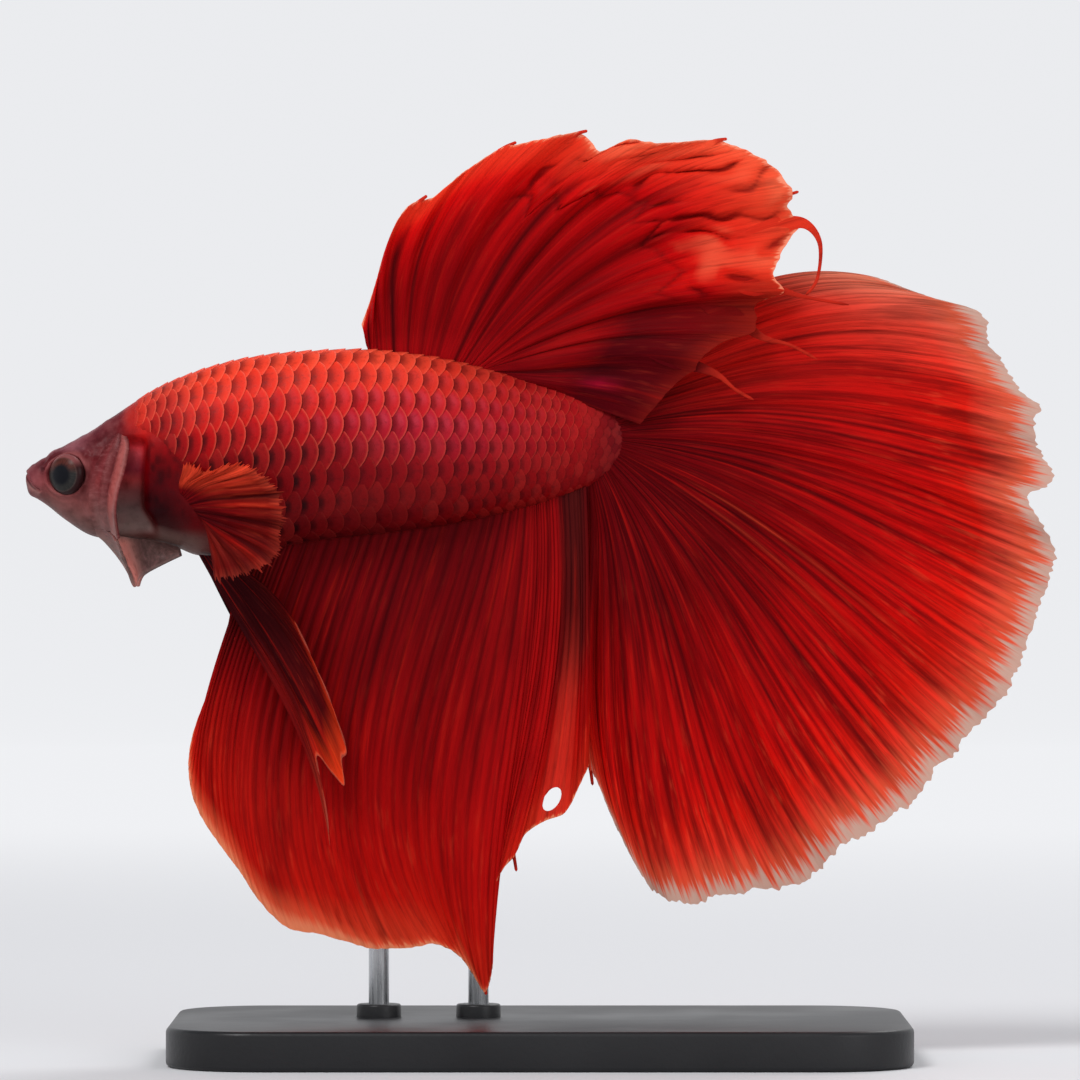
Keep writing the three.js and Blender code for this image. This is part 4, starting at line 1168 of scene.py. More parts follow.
# Colours along a fin's rays, from root to tip.
FIN_SHADES = {
    "dorsal": [
        (0, (176, 8, 16)), (0.12, (150, 2, 8)), (0.35, (156, 2, 8)), (0.6, (190, 4, 8)),
        (0.8, (224, 10, 10)), (1, (240, 56, 32)),
    ],
    "caudal": [
        (0, (112, 2, 10)), (0.15, (126, 3, 10)), (0.3, (134, 4, 8)), (0.5, (180, 6, 9)),
        (0.75, (220, 14, 10)), (0.9, (244, 36, 19)), (1, (248, 66, 38)),
    ],
    "anal": [
        (0, (112, 4, 12)), (0.3, (138, 5, 10)), (0.55, (166, 6, 9)), (0.8, (192, 12, 8)),
        (1, (214, 30, 14)),
    ],
    "pectoral": [(0, (120, 8, 16)), (0.2, (134, 6, 12)), (0.5, (176, 16, 12)), (1, (206, 50, 28))],
    "pelvic": [
        (0, (62, 26, 30)), (0.15, (52, 8, 13)), (0.5, (78, 8, 11)), (0.8, (112, 10, 10)),
        (1, (190, 36, 18)),
    ],
}
# Colours laid over a fin: the colour, its share along the edge, and its share along the rays.
FIN_TINTS = {
    "dorsal": [
        # Painted light shining through the ruffled outer edge.
        (
            (255, 104, 66),
            [(0.36, 0), (0.42, 0.5), (0.55, 0.85), (0.64, 0.75), (0.7, 0.3), (0.76, 0)],
            [(0.7, 0), (0.88, 0.3), (1, 0.9)],
        ),
        ((250, 70, 40), [(0.05, 0), (0.15, 0.5), (0.36, 0.4), (0.4, 0)], [(0.75, 0), (1, 0.8)]),
        ((176, 14, 16), [(0.7, 0), (0.8, 0.6), (0.9, 0.4), (0.94, 0)], [(0.1, 0), (0.3, 1), (0.5, 0)]),
        # Painted shade over the fin's rear part.
        (
            (58, 0, 8),
            [(0.735, 0), (0.79, 0.75), (0.9, 0.9), (1, 0.85)],
            [(0.4, 0.1), (0.58, 1), (0.9, 1), (1, 0.75)],
        ),
        # Painted shade in the folds of the last rays.
        ((82, 1, 12), [(0.85, 0), (0.93, 0.7), (1, 0.8)], [(0, 0.7), (0.8, 0.9), (1, 0.7)]),
        # Painted magenta glints.
        ((210, 10, 60), [(0.94, 0), (0.96, 0.4), (0.97, 0)], [(0.5, 0), (0.65, 1), (0.8, 0)]),
    ],
    "caudal": [
        (
            (255, 44, 28),
            [(0, 1), (0.1, 0.9), (0.2, 0.4), (0.32, 0)],
            [(0.05, 0), (0.25, 0.7), (0.7, 0.8), (1, 0.6)],
        ),
        (
            (255, 160, 126),
            [(0, 1), (0.07, 0.7), (0.13, 0.2), (0.2, 0)],
            [(0.5, 0), (0.75, 0.7), (1, 1)],
        ),
        ((206, 16, 18), [(0, 0.7), (0.3, 0.5), (0.5, 0)], [(0.1, 0), (0.3, 0.6), (0.6, 0.5), (0.8, 0)]),
        (
            (230, 128, 98),
            [(0.06, 0.9), (0.36, 0.8), (0.46, 0.3), (1, 0.2)],
            [(0.84, 0), (0.93, 0.6), (1, 1)],
        ),
        # A painted highlight along a raised fold.
        (
            (232, 74, 46),
            [(0.501, 0), (0.505, 0.6), (0.51, 0), (0.535, 0), (0.54, 0.4), (0.546, 0)],
            [(0.12, 0), (0.3, 1), (0.6, 0.6), (0.85, 0)],
        ),
        # A painted shadow beside that fold.
        ((88, 2, 8), [(0.55, 0), (0.6, 0.5), (0.66, 0)], [(0, 0.3), (0.25, 0.8), (0.5, 0)]),
    ],
    "anal": [
        # Dark at the front root: partly the fin's own colour, partly painted shadow under the body.
        ((52, 6, 9), [(0, 0.8), (0.2, 0.75), (0.32, 0)], [(0, 1), (0.3, 0.85), (0.5, 0)]),
        ((232, 84, 52), [(0.12, 0), (0.22, 0.6), (0.5, 0.65), (0.62, 0.15)], [(0.88, 0), (1, 1)]),
        (
            (226, 50, 30),
            [(0.14, 0), (0.24, 0.25), (0.4, 0.15), (0.5, 0)],
            [(0.4, 0), (0.7, 0.8), (0.85, 0.4)],
        ),
        (
            (204, 16, 18),
            [(0.62, 0), (0.7, 0.6), (0.86, 0.7), (0.9, 0)],
            [(0, 0.7), (0.7, 0.8), (1, 0.5)],
        ),
        (
            (78, 20, 18),
            [(0.87, 0), (0.91, 0.8), (0.965, 0.85), (1, 0.3)],
            [(0, 1), (0.5, 0.9), (0.7, 0)],
        ),
        (
            (232, 58, 42),
            [(0.895, 0), (0.915, 0.75), (0.935, 0.6), (0.955, 0)],
            [(0.35, 0), (0.6, 0.7), (1, 1)],
        ),
    ],
    "pectoral": [
        (
            (255, 78, 48),
            [(0, 1), (0.15, 1), (0.3, 0.8), (0.4, 0.3), (0.55, 0)],
            [(0.1, 0), (0.3, 0.85), (1, 1)],
        ),
        # Two dark bands across the middle of the fin: painted shade.
        (
            (90, 0, 4),
            [(0.38, 0), (0.44, 0.6), (0.5, 0.3), (0.54, 0)],
            [(0.3, 0), (0.5, 0.8), (0.85, 0.8), (1, 0)],
        ),
        (
            (60, 0, 6),
            [(0.52, 0), (0.62, 0.75), (0.76, 0.7), (0.84, 0)],
            [(0, 0.8), (0.8, 0.9), (1, 0.4)],
        ),
        ((134, 34, 26), [(0.78, 0), (0.86, 0.75), (1, 0.85)], [(0, 0.4), (0.3, 1), (1, 1)]),
        ((214, 92, 70), [(0.25, 0), (0.4, 0.55), (0.7, 0.4), (1, 0.6)], [(0.86, 0), (1, 0.9)]),
        ((120, 10, 10), [(0.3, 0), (0.45, 0.6), (1, 0.6)], [(0.6, 0), (0.85, 1), (1, 0.8)]),
    ],
    "pelvic": [
        ((156, 18, 16), [(0, 0.9), (0.2, 0.8), (0.32, 0)], [(0.3, 0), (0.5, 0.8), (1, 1)]),
        ((220, 70, 50), [(0, 0.9), (0.12, 0.8), (0.2, 0)], [(0.7, 0), (0.9, 0.7), (1, 1)]),
        (
            (236, 64, 24),
            [(0.3, 0), (0.42, 1), (0.56, 0.6), (0.7, 0.5), (1, 0)],
            [(0.8, 0), (0.9, 0.9), (1, 1)],
        ),
    ],
}
# Painted shade in the creases.
PAINTED_CREASE_SHADE = linear(40, 0, 4)
THREAD_RED = linear(202, 44, 28)
# Painted highlight on the ruffles' crests and painted shade in their folds.
PAINTED_RUFFLE_HIGHLIGHT, PAINTED_RUFFLE_SHADE = linear(255, 128, 88), linear(128, 3, 6)


def crease_phase(count, shift, spread, reach):
    """Rises by one from each crease to the next. The creases wander a little."""
    return count * spread + shift + 0.2 * wander(count * spread * 0.4, reach * 1.8, count)


def crease_lines(plan, spread, reach, edge_length):
    """How dark the painted shade in the creases makes each place."""
    dark = np.zeros_like(spread)
    for count, shift, width, fade, end, strength in plan["creases"]:
        phase = crease_phase(count, shift, spread, reach)
        line = np.round(phase)
        apart = np.abs(phase - line) * edge_length / count
        own = strength * (0.3 + 0.7 * hashed(line, count)) * (1 - smooth(fade, end, reach))
        dark = dark + (1 - dark) * own * bump(apart, width)
    return dark


def ruffles(kind, spread, reach, edge_length):
    """Folds that stand up towards the outer edge of the dorsal fin's rear half, and where they lie."""
    if kind != "dorsal":
        return 0 * spread, 0 * spread
    across, down = spread * edge_length, (1 - reach) * 20
    zigzag = np.abs(np.modf(across / 3.7 + 0.3 * wander(across / 4, 0, 56))[0] - 0.5)
    shelf = 0.69 + 0.05 * wander(spread * 22, 0, 53) - 0.16 * zigzag
    span = smooth(0.33, 0.4, spread) * (1 - smooth(0.74, 0.8, spread))
    here = span * smooth(shelf, shelf + 0.06, reach)
    step = span * bump(reach - shelf, 0.014) * (0.4 + 0.6 * hashed(np.round(across / 1.85), 9))
    bend = 0.75 * wander(across / 4.2, down / 2.2, 51) + 0.26 * wander(across / 1.8, down / 1.2, 54)
    phase = across / 2.3 + down / 5.5 + bend
    broken = smooth(-0.55, 0.35, wander(np.round(phase) * 3.7, down / 2.1, 57))
    fold = bump(phase - np.round(phase), 0.17) * (0.45 + 0.55 * hashed(np.round(phase), 7)) * broken
    swell = 0.42 + 0.75 * wander(across / 2.2 + 9, down / 2.0, 55) + 0.35 * (1 - smooth(0.3, 2.2, down))
    return here * (swell - 1.5 * fold) - 0.8 * step, here


def fin_colour_and_painted_light(kind, spread, reach, ray, crease, crest, thread):
    """A fin's colour at places on it, with painted light and shade on its ruffles and in its creases."""
    shade = ramp(FIN_SHADES[kind], reach)
    for colour, along_edge, along_ray in FIN_TINTS[kind]:
        share = np.interp(spread, *zip(*along_edge)) * np.interp(reach, *zip(*along_ray))
        shade = mix(shade, linear(*colour), share)
    # Painted highlight on the ruffles' crests, painted shade in their folds.
    shade = mix(shade, PAINTED_RUFFLE_HIGHLIGHT, 0.5 * smooth(0.5, 1.4, crest))
    shade = mix(shade, PAINTED_RUFFLE_SHADE, 0.8 * smooth(0.0, 0.6, -crest))
    if kind in ("caudal", "pectoral"):
        crease = crease * (0.45 + 0.55 * smooth(0.06, 0.3, spread))
    if kind == "pectoral":
        lit = ray**3 * (1 - smooth(0.45, 0.6, spread)) * smooth(0.1, 0.4, reach)
        shade = mix(shade, linear(255, 84, 50), 0.45 * lit)
    # Painted shade in the creases.
    return mix(mix(shade, PAINTED_CREASE_SHADE, crease), THREAD_RED, 0.85 * thread)


def fin_edge(plan, spread, around):
    """How far a fin's edge stands out beyond the tips of its rays, in millimetres."""
    ragged = 0.12 * wander(around / 0.34, 0, 41) + 0.2 * wander(around / 1.3, 0, 42)
    ragged = ragged + 0.16 * wander(around / 4.5, 0, 43)
    hairs = spread * plan["rays"] * 2 ** len(plan["forks"]) * 1.6 + 0.3 * wander(spread * 90, 0, 45)
    point = 1 - 2 * np.abs(hairs - np.round(hairs))
    tips = point * (0.2 + 1.3 * hashed(np.round(hairs), 44) ** 1.3)
    return ragged * np.interp(spread, *zip(*plan["fringe"])) + plan["spikes"] * (tips - 0.4)


def add_filaments(filaments, middle, grids, points, faces, tables):
    """Joins filaments to a fin, each at the fin's place nearest to its first one."""
    reach, across, length, spread = grids
    for web, *places in filaments:
        places = np.array(places, float)
        apart = np.linalg.norm((middle - places[0])[..., [0, 2]].reshape(-1, 2), axis=1)
        at = divmod(np.argmin(apart), middle.shape[1])
        places[:, 1] += (middle[at][1] - places[0, 1]) * np.linspace(1, 0.6, len(places))
        extra, extra_faces, t = blade(places, web)
        faces = faces + [f + len(points) for f in extra_faces]
        points = np.concatenate([points, extra])
        sideways = (extra - places[0]) @ np.array([0.3, 0, -1.0])
        more = [0.7, reach[at] + (0.99 - reach[at]) * t, across[at] + 0.6 * sideways, length[at]]
        more = more + [0.05, spread[at], 0, 0, smooth(0.3, 0.6, t)]
        tables = [np.concatenate([table, value + 0 * t]) for table, value in zip(tables, more)]
    return points, faces, tables


def make_fin(name, kind, rays, side=1, filaments=(), tear=None):
    """A fin as a closed shell over its rays, with its ragged edge, creases and filaments."""
    plan = FINS[kind]
    columns, rows = plan["columns"], plan["rows"]
    u, spread, edge_length = evenly(kind, rays, side, columns)
    reach = 1 - (1 - np.linspace(0, 1, rows)) ** 1.25
    grid_u, grid_v = np.meshgrid(u, reach, indexing="ij")
    grid_s = np.repeat(spread[:, None], rows, axis=1)
    pattern = ray_pattern(grid_s, grid_v, plan["rays"], plan["forks"])
    middle = fin_point(kind, rays, side, grid_u, grid_v)
    ray_length = np.linalg.norm(middle[:, -1] - middle[:, 0], axis=1)
    around = spread * edge_length
    trim = fin_edge(plan, spread, around)
    for web, *places in filaments:
        apart = np.linalg.norm(middle[:, -1][:, [0, 2]] - np.array(places[1])[[0, 2]], axis=1)
        trim = trim + 0.35 * web * np.exp(-np.abs(around - around[np.argmin(apart)]) / (0.5 * web))
    ahead = unit(middle[:, -1] - middle[:, -4])
    middle = middle + (trim[:, None] * smooth(0.75, 1, grid_v))[..., None] * ahead[:, None]
    phase = crease_phase(*plan["creases"][0][:2], grid_s, grid_v)
    ripple = 0.5 * wander(grid_s * edge_length / 2.4, grid_v * ray_length.mean() / 7, 46)
    crest, ruffled = ruffles(kind, grid_s, grid_v, edge_length)
    wave = np.cos(2 * math.pi * phase) * (1 - 0.6 * ruffled) + ripple
    middle[..., 1] += plan["pleat"] * smooth(0, 0.45, grid_v) * wave - 0.36 * crest
    normal = unit(np.cross(np.gradient(middle, axis=0), np.gradient(middle, axis=1)))
    normal *= np.sign(normal[..., 1:2].mean())
    half = plan["half"] * (1 - 0.5 * smooth(0.9, 1, grid_v) + 1.6 * (1 - smooth(0, 0.12, grid_v)))
    half = half + plan["ridge"] * pattern * (1 - 0.55 * grid_v)
    if kind == "caudal":
        sheath = flank_at(middle[:, :1, 0], middle[:, :1, 2]) - SKIN_DEPTH - 0.14
        half = half + np.maximum(sheath, 0) * (1 - smooth(0, 0.17, grid_v)) ** 1.3
    front = middle + normal * half[..., None]
    back = middle - normal * half[..., None]
    keep = None
    if tear:
        front, back, keep = tear_open(front, back, tear)
    points, faces = shell(front, back, keep)
    crease = crease_lines(plan, grid_s, grid_v, edge_length)
    length = np.repeat(ray_length[:, None], rows, axis=1)
    margin = np.interp(grid_s, *zip(*plan["margin"]))
    across = grid_s * edge_length
    tables = [pattern, grid_v, across, length, margin, grid_s, crease, crest, 0 * grid_s]
    points, faces, tables = drop_loose(points, faces, *(np.tile(table.ravel(), 2) for table in tables))
    grids = (grid_v, across, length, grid_s)
    points, faces, tables = add_filaments(filaments, middle, grids, points, faces, tables)
    values = dict(zip(("ray", "reach", "across", "length", "margin"), tables))
    shade = fin_colour_and_painted_light(kind, tables[5], tables[1], tables[0], *tables[6:])
    return finish_shell(name, points, faces, values, {"marking_and_painted_light": shade})


def tear_open(front, back, tear):
    """Opens an oval hole in a fin and draws the nearest points to its rim."""
    turn = math.radians(tear["turn"])
    along_hole = np.array([math.cos(turn), math.sin(turn)])
    across_hole = np.array([-math.sin(turn), math.cos(turn)])
    offset = front[..., [0, 2]] - np.array([tear["x"], tear["z"]])
    p, q = offset @ along_hole / tear["long"], offset @ across_hole / tear["wide"]
    radius = np.hypot(p, q)
    inside = radius < 1
    cells = inside[:-1, :-1] & inside[1:, :-1] & inside[1:, 1:] & inside[:-1, 1:]
    keep = ~cells
    touched = np.zeros_like(inside)
    for rows in (slice(0, -1), slice(1, None)):
        for columns in (slice(0, -1), slice(1, None)):
            touched[rows, columns] |= cells
    rim = inside & touched
    solid = np.pad(keep, 1, constant_values=True)
    borders = solid[:-1, :-1] | solid[1:, :-1] | solid[:-1, 1:] | solid[1:, 1:]
    rim = rim & borders
    scale = 1 / np.maximum(radius, 0.05)
    for grid in (front, back):
        moved = np.array([tear["x"], tear["z"]]) + offset * scale[..., None]
        grid[..., 0] = np.where(rim, moved[..., 0], grid[..., 0])
        grid[..., 2] = np.where(rim, moved[..., 1], grid[..., 2])
    return front, back, keep


# ---- Materials -----------------------------------------------------------------------------------


class Look:
    """A node material around one Principled shader."""

    def __init__(self, name, roughness=0.45, coat=0.0, coat_roughness=0.1, specular=0.5, metallic=0.0):
        self.material = bpy.data.materials.new(name)
        self.material.use_nodes = True
        self.tree = self.material.node_tree
        self.shader = self.tree.nodes["Principled BSDF"]
        self.output = self.tree.nodes["Material Output"]
        self.shade = None
        self.set("Roughness", roughness)
        self.set("Coat Weight", coat)
        self.set("Coat Roughness", coat_roughness)
        self.set("Specular IOR Level", specular)
        self.set("Metallic", metallic)

    def set(self, socket, value):
        self.shader.inputs[socket].default_value = value

    def add(self, kind, sources=None, **settings):
        """A node. sources gives its inputs by name or number: a socket to link or a plain value."""
        node = self.tree.nodes.new("ShaderNode" + kind)
        for key, value in settings.items():
            setattr(node, key, value)
        for key, source in (sources or {}).items():
            if isinstance(source, bpy.types.NodeSocket):
                self.tree.links.new(source, node.inputs[key])
            else:
                node.inputs[key].default_value = source
        return node

    def attribute(self, name, output="Fac"):
        return self.add("Attribute", attribute_name=name).outputs[output]

    def noise(self, vector, scale, detail):
        settings = {"Vector": vector, "Scale": scale, "Detail": detail, "Roughness": 0.55}
        return self.add("TexNoise", settings).outputs["Fac"]

    def stretched(self, sizes, *sources):
        """A vector from up to three sources, each multiplied by its size."""
        parts = [self.times(source, size) for source, size in zip(sources, sizes)]
        return self.add("CombineXYZ", dict(enumerate(parts))).outputs[0]

    def math(self, operation, first, second):
        return self.add("Math", {0: first, 1: second}, operation=operation).outputs[0]

    def times(self, first, second):
        return self.math("MULTIPLY", first, second)

    def curve(self, source, low, high, new_low=0.0, new_high=1.0):
        """source from the range low to high, smoothly, to a new range."""
        ranges = {"From Min": low, "From Max": high, "To Min": new_low, "To Max": new_high}
        node = self.add("MapRange", {"Value": source, **ranges}, interpolation_type="SMOOTHSTEP")
        return node.outputs["Result"]

    def ramp(self, source, stops):
        node = self.add("ValToRGB", {"Fac": source})
        elements = node.color_ramp.elements
        while len(elements) < len(stops):
            elements.new(0.5)
        for element, (place, colour) in zip(elements, stops):
            element.position = place
            element.color = (*linear(*colour), 1)
        return node.outputs["Color"]

    def blend(self, first, second, share, mode="MIX"):
        node = self.add("Mix", data_type="RGBA", blend_type=mode)
        for key, source in ((0, share), (6, first), (7, second)):
            if isinstance(source, bpy.types.NodeSocket):
                self.tree.links.new(source, node.inputs[key])
            elif key == 0:
                node.inputs[key].default_value = source
            else:
                node.inputs[key].default_value = (*source, 1)
        return node.outputs[2]

    def lay(self, colour, share):
        """Lays a colour over the shade so far."""
        self.shade = self.blend(self.shade, colour, share)

    def colour(self, source):
        self.tree.links.new(source, self.shader.inputs["Base Color"])

    def roughness(self, source):
        self.tree.links.new(source, self.shader.inputs["Roughness"])

    def bumps(self, height, distance):
        node = self.add("Bump", {"Height": height, "Distance": distance, "Strength": 1.0})
        self.tree.links.new(node.outputs[0], self.shader.inputs["Normal"])

    def glow_through(self, share):
        """Lets light through a thin piece, as a share of translucent shading."""
        thin = self.add("BsdfTranslucent", {"Color": self.shade})
        both = self.add("MixShader", {0: share, 1: self.shader.outputs[0], 2: thin.outputs[0]})
        self.tree.links.new(both.outputs[0], self.output.inputs["Surface"])


def object_place(look):
    """A point's place in the frame, in metres."""
    return look.add("TexCoord").outputs["Object"]


def skin_look():
    """Bare wet skin: mottled, with fine pores."""
    look = Look("wet skin", coat=0.035, coat_roughness=0.25, specular=0.045)
    place_in = object_place(look)
    look.shade = look.attribute("marking_and_painted_light", "Color")
    mottle = look.noise(place_in, 900, 4)
    pores = look.noise(place_in, 5200, 2)
    pale = look.times(look.curve(mottle, 0.4, 0.75, 0.0, 0.16), look.attribute("bare"))
    look.lay((0.55, 0.2, 0.2), pale)
    look.lay((0.02, 0.003, 0.005), look.curve(mottle, 0.5, 0.25, 0.0, 0.35))
    look.colour(look.shade)
    look.roughness(look.curve(pores, 0.3, 0.7, 0.36, 0.52))
    look.bumps(look.math("ADD", mottle, look.times(pores, 0.4)), 0.00006)
    return look.material


def scale_look():
    """Scales with rims partly paler and partly painted highlight, painted shade on their fronts, painted
    shadows behind the edges, and a painted glint along the upper flank.
    """
    look = Look("scales", roughness=0.45, specular=0.07)
    look.shade = look.attribute("marking_and_painted_light", "Color")
    place_in = object_place(look)
    fine = look.noise(place_in, 2600, 3)
    # Painted shade on the scales' covered fronts.
    front = look.times(look.attribute("front"), 0.6)
    look.lay((0.06, 0.0, 0.003), front)
    look.lay((0.9, 0.07, 0.05), look.curve(look.attribute("tone"), 0.3, 1.0, 0.0, 0.07))
    # A painted glint.
    look.lay((0.8, 0.1, 0.16), look.times(look.attribute("glint"), 0.26))
    look.lay((0.02, 0.0, 0.001), look.curve(fine, 0.5, 0.3, 0.0, 0.22))
    # Rims: partly a paler edge, partly painted highlight.
    look.lay((0.95, 0.16, 0.09), look.times(look.attribute("rim"), 0.3))
    # Painted shadows behind the edges of the scales in front.
    look.lay((0.008, 0.0, 0.001), look.times(look.attribute("slit_shadow"), 0.97))
    look.colour(look.shade)
    look.roughness(look.curve(fine, 0.3, 0.7, 0.4, 0.56))
    look.bumps(fine, 0.00003)
    return look.material


def flap_look():
    """The streaked skin of the gill covers and the throat."""
    look = Look("gill skin", coat=0.05, coat_roughness=0.25, specular=0.06)
    along_in, out = look.attribute("along"), look.attribute("out")
    strands = look.noise(look.stretched((26, 5), along_in, out), 1.0, 3)
    look.shade = look.attribute("marking_and_painted_light", "Color")
    look.lay((0.5, 0.2, 0.2), look.curve(strands, 0.45, 0.75, 0.0, 0.2))
    look.lay((0.05, 0.01, 0.01), look.curve(strands, 0.5, 0.25, 0.0, 0.35))
    look.colour(look.shade)
    look.roughness(look.curve(strands, 0.3, 0.7, 0.36, 0.52))
    look.bumps(strands, 0.00008)
    look.glow_through(0.12)
    return look.material


def eye_look():
    """A dark pupil, a brownish iris that is greyer below, and the pink skin round them, darker lower down
    as painted shade.
    """
    look = Look("eye", roughness=0.4, coat=0.06, coat_roughness=0.16, specular=0.08)
    ring, turn, lift = look.attribute("ring"), look.attribute("turn"), look.attribute("lift")
    streaks = look.noise(look.stretched((60, 3), turn, ring), 1.0, 3)
    upper = look.ramp(streaks, [(0.3, (56, 24, 20)), (0.7, (88, 40, 32))])
    lower = look.ramp(streaks, [(0.3, (30, 30, 30)), (0.7, (48, 46, 44))])
    iris = look.blend(lower, upper, look.curve(lift, 0.0, 0.5))
    look.shade = look.blend(linear(9, 10, 17), iris, look.curve(ring, 0.38, 0.64))
    rim = look.times(look.curve(ring, 0.76, 0.81), look.curve(ring, 0.87, 0.82, 0.0, 0.18))
    look.lay(linear(112, 82, 76), rim)
    # The ring round the iris: pink towards the top, darker lower down as painted shade.
    eye_white_and_shade = look.blend(linear(42, 16, 18), linear(126, 68, 68), look.curve(lift, 0.3, 0.8))
    look.lay(eye_white_and_shade, look.curve(ring, 0.8, 0.88, 0.0, 0.95))
    look.colour(look.shade)
    return look.material


DEEP_RED, DARK_RED = linear(60, 0, 6), linear(52, 0, 5)


def fin_look(name, margin, margin_width, dashes, lines=0.3, grain=1.0):
    """A rayed membrane with a paler margin, whose width is in millimetres."""
    look = Look(name, roughness=0.6, specular=0.04)
    ray, reach = look.attribute("ray"), look.attribute("reach")
    across, length = look.attribute("across"), look.attribute("length")
    down = look.times(reach, length)
    from_edge = look.math("SUBTRACT", length, down)
    broad = look.noise(look.stretched((0.35, 0.06), across, down), 1.0, 2)
    streak = look.noise(look.stretched((1.6, 0.09), across, down), 1.0, 3)
    fine = look.noise(look.stretched((5.0, 0.16), across, down), 1.0, 2)
    dash = look.noise(look.stretched((2.4, 0.3), across, down), 1.0, 3)
    look.shade = look.attribute("marking_and_painted_light", "Color")
    look.lay(DEEP_RED, look.curve(broad, 0.5, 0.3, 0.0, 0.35))
    look.lay(DARK_RED, look.curve(streak, 0.5, 0.3, 0.0, 0.5 * grain))
    look.lay(linear(236, 34, 18), look.curve(streak, 0.54, 0.72, 0.0, 0.3 * grain))
    look.lay(DARK_RED, look.curve(fine, 0.46, 0.3, 0.0, 0.35 * grain))
    # Painted shade in the valleys between the rays.
    valley = look.times(look.curve(ray, 0.3, 0.02), look.curve(fine, 0.35, 0.6, 0.35 * lines, lines))
    look.lay(linear(46, 0, 5), valley)
    outer = look.curve(from_edge, 16.0, 5.0, 0.2, 1.0)
    fleck = look.times(look.curve(dash, 0.54, 0.72), look.times(outer, dashes))
    look.lay(linear(250, 84, 52), fleck)
    gloom = look.times(look.curve(dash, 0.44, 0.3), look.times(outer, 0.3))
    look.lay(linear(96, 2, 6), gloom)
    fray = look.times(look.math("SUBTRACT", streak, 0.5), margin_width * 3.2)
    fray = look.math("ADD", fray, look.times(look.math("SUBTRACT", fine, 0.5), margin_width * 4.2))
    wide = look.attribute("margin")
    edge = look.math("DIVIDE", look.math("ADD", from_edge, fray), wide)
    shown = look.curve(wide, 0.05, 0.35)
    warm = look.curve(edge, margin_width * 3.6, margin_width * 0.9, 0.0, 0.65)
    look.lay(linear(236, 96, 62), look.times(warm, shown))
    pale = look.curve(edge, margin_width * 1.7, margin_width * 0.3, 0.0, 0.95)
    look.lay(linear(*margin), look.times(pale, shown))
    look.colour(look.shade)
    look.roughness(look.curve(fine, 0.3, 0.7, 0.52, 0.68))
    look.bumps(look.math("ADD", streak, look.times(fine, 0.6)), 0.00008)
    look.glow_through(0.25)
    return look.material


def base_look():
    """Satin black, faintly clouded."""
    look = Look("satin black", coat=0.08, coat_roughness=0.25, specular=0.25)
    place_in = object_place(look)
    fine = look.noise(place_in, 2200, 2)
    cloud = look.noise(place_in, 60, 3)
    look.colour(look.ramp(cloud, [(0.35, (24, 24, 26)), (0.7, (33, 33, 35))]))
    look.roughness(look.curve(cloud, 0.3, 0.7, 0.38, 0.5))
    look.bumps(fine, 0.00002)
    return look.material


def rod_look():
    """Steel brushed along the rod."""
    look = Look("brushed steel", metallic=1.0)
    spots = object_place(look)
    parts = look.add("SeparateXYZ", {0: spots})
    lines = look.noise(look.stretched((9000, 9000, 220), *parts.outputs), 1.0, 2)
    look.colour(look.ramp(lines, [(0.3, (168, 170, 173)), (0.7, (205, 206, 208))]))
    look.roughness(look.curve(lines, 0.3, 0.7, 0.2, 0.34))
    look.bumps(lines, 0.00001)
    return look.material


# ---- The stand -----------------------------------------------------------------------------------

# In metres, as the frame is.
COLLAR_RADIUS, COLLAR_HEIGHT, COLLAR_BEVEL = 0.0017, 0.001, 0.0002
BASE_CORNER, BASE_BEVEL = 0.007, 0.0004
ROD_BEVEL = 0.0001


def loft(outlines):
    """Points and faces of a closed form through level outlines, each with its height in metres."""
    rings = [np.column_stack([flat, np.full(len(flat), z)]) for flat, z in outlines]
    points = np.concatenate(rings) * 1000 - SNOUT
    index, _, quads = ring_quads(points, len(rings))
    return points, [quads, index[:1, ::-1], index[-1:]]


def rounded(low, high, bevel, steps):
    """Heights of a block's rings from low to high, and how far its rounded edges draw each one in."""
    turns = np.linspace(0, math.pi / 2, steps)
    edge = [(bevel * (1 - math.sin(turn)), bevel * (1 - math.cos(turn))) for turn in turns]
    lower = [(low + rise, inset) for rise, inset in edge[::-1]]
    return lower + [(high - rise, inset) for rise, inset in edge]


def upright(middle, radius, low, high, bevel):
    """A round upright with rounded edges."""
    angle = np.linspace(0, 2 * math.pi, 64, endpoint=False)
    around = np.stack([np.cos(angle), np.sin(angle)], axis=1)
    heights = rounded(low, high, bevel, 5)
    return loft([(np.array(middle.xy) + (radius - inset) * around, z) for z, inset in heights])


def make_base():
    """The base with its round corners and edges made fine, and a collar round each rod's foot."""
    low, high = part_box("stand_base")
    top = high.z - COLLAR_HEIGHT
    quarters = [(1, 1), (-1, 1), (-1, -1), (1, -1)]
    steps = 24
    turns = [math.pi / 2 * (k + step / steps) for k in range(4) for step in range(steps + 1)]
    around = np.stack([np.cos(turns), np.sin(turns)], axis=1)
    centres = np.repeat(quarters, steps + 1, axis=0) * (np.array(high.xy) - BASE_CORNER)
    heights = rounded(low.z, top, BASE_BEVEL, 6)
    points, faces = loft([(centres + (BASE_CORNER - inset) * around, z) for z, inset in heights])
    for rod in ("stand_rod_front", "stand_rod_rear"):
        rod_low, rod_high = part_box(rod)
        reach = top - COLLAR_HEIGHT, top + COLLAR_HEIGHT
        more, more_faces = upright((rod_low + rod_high) / 2, COLLAR_RADIUS, *reach, COLLAR_BEVEL)
        faces = faces + [f + len(points) for f in more_faces]
        points = np.concatenate([points, more])
    return finish_shell("stand_base_satin", points, faces)


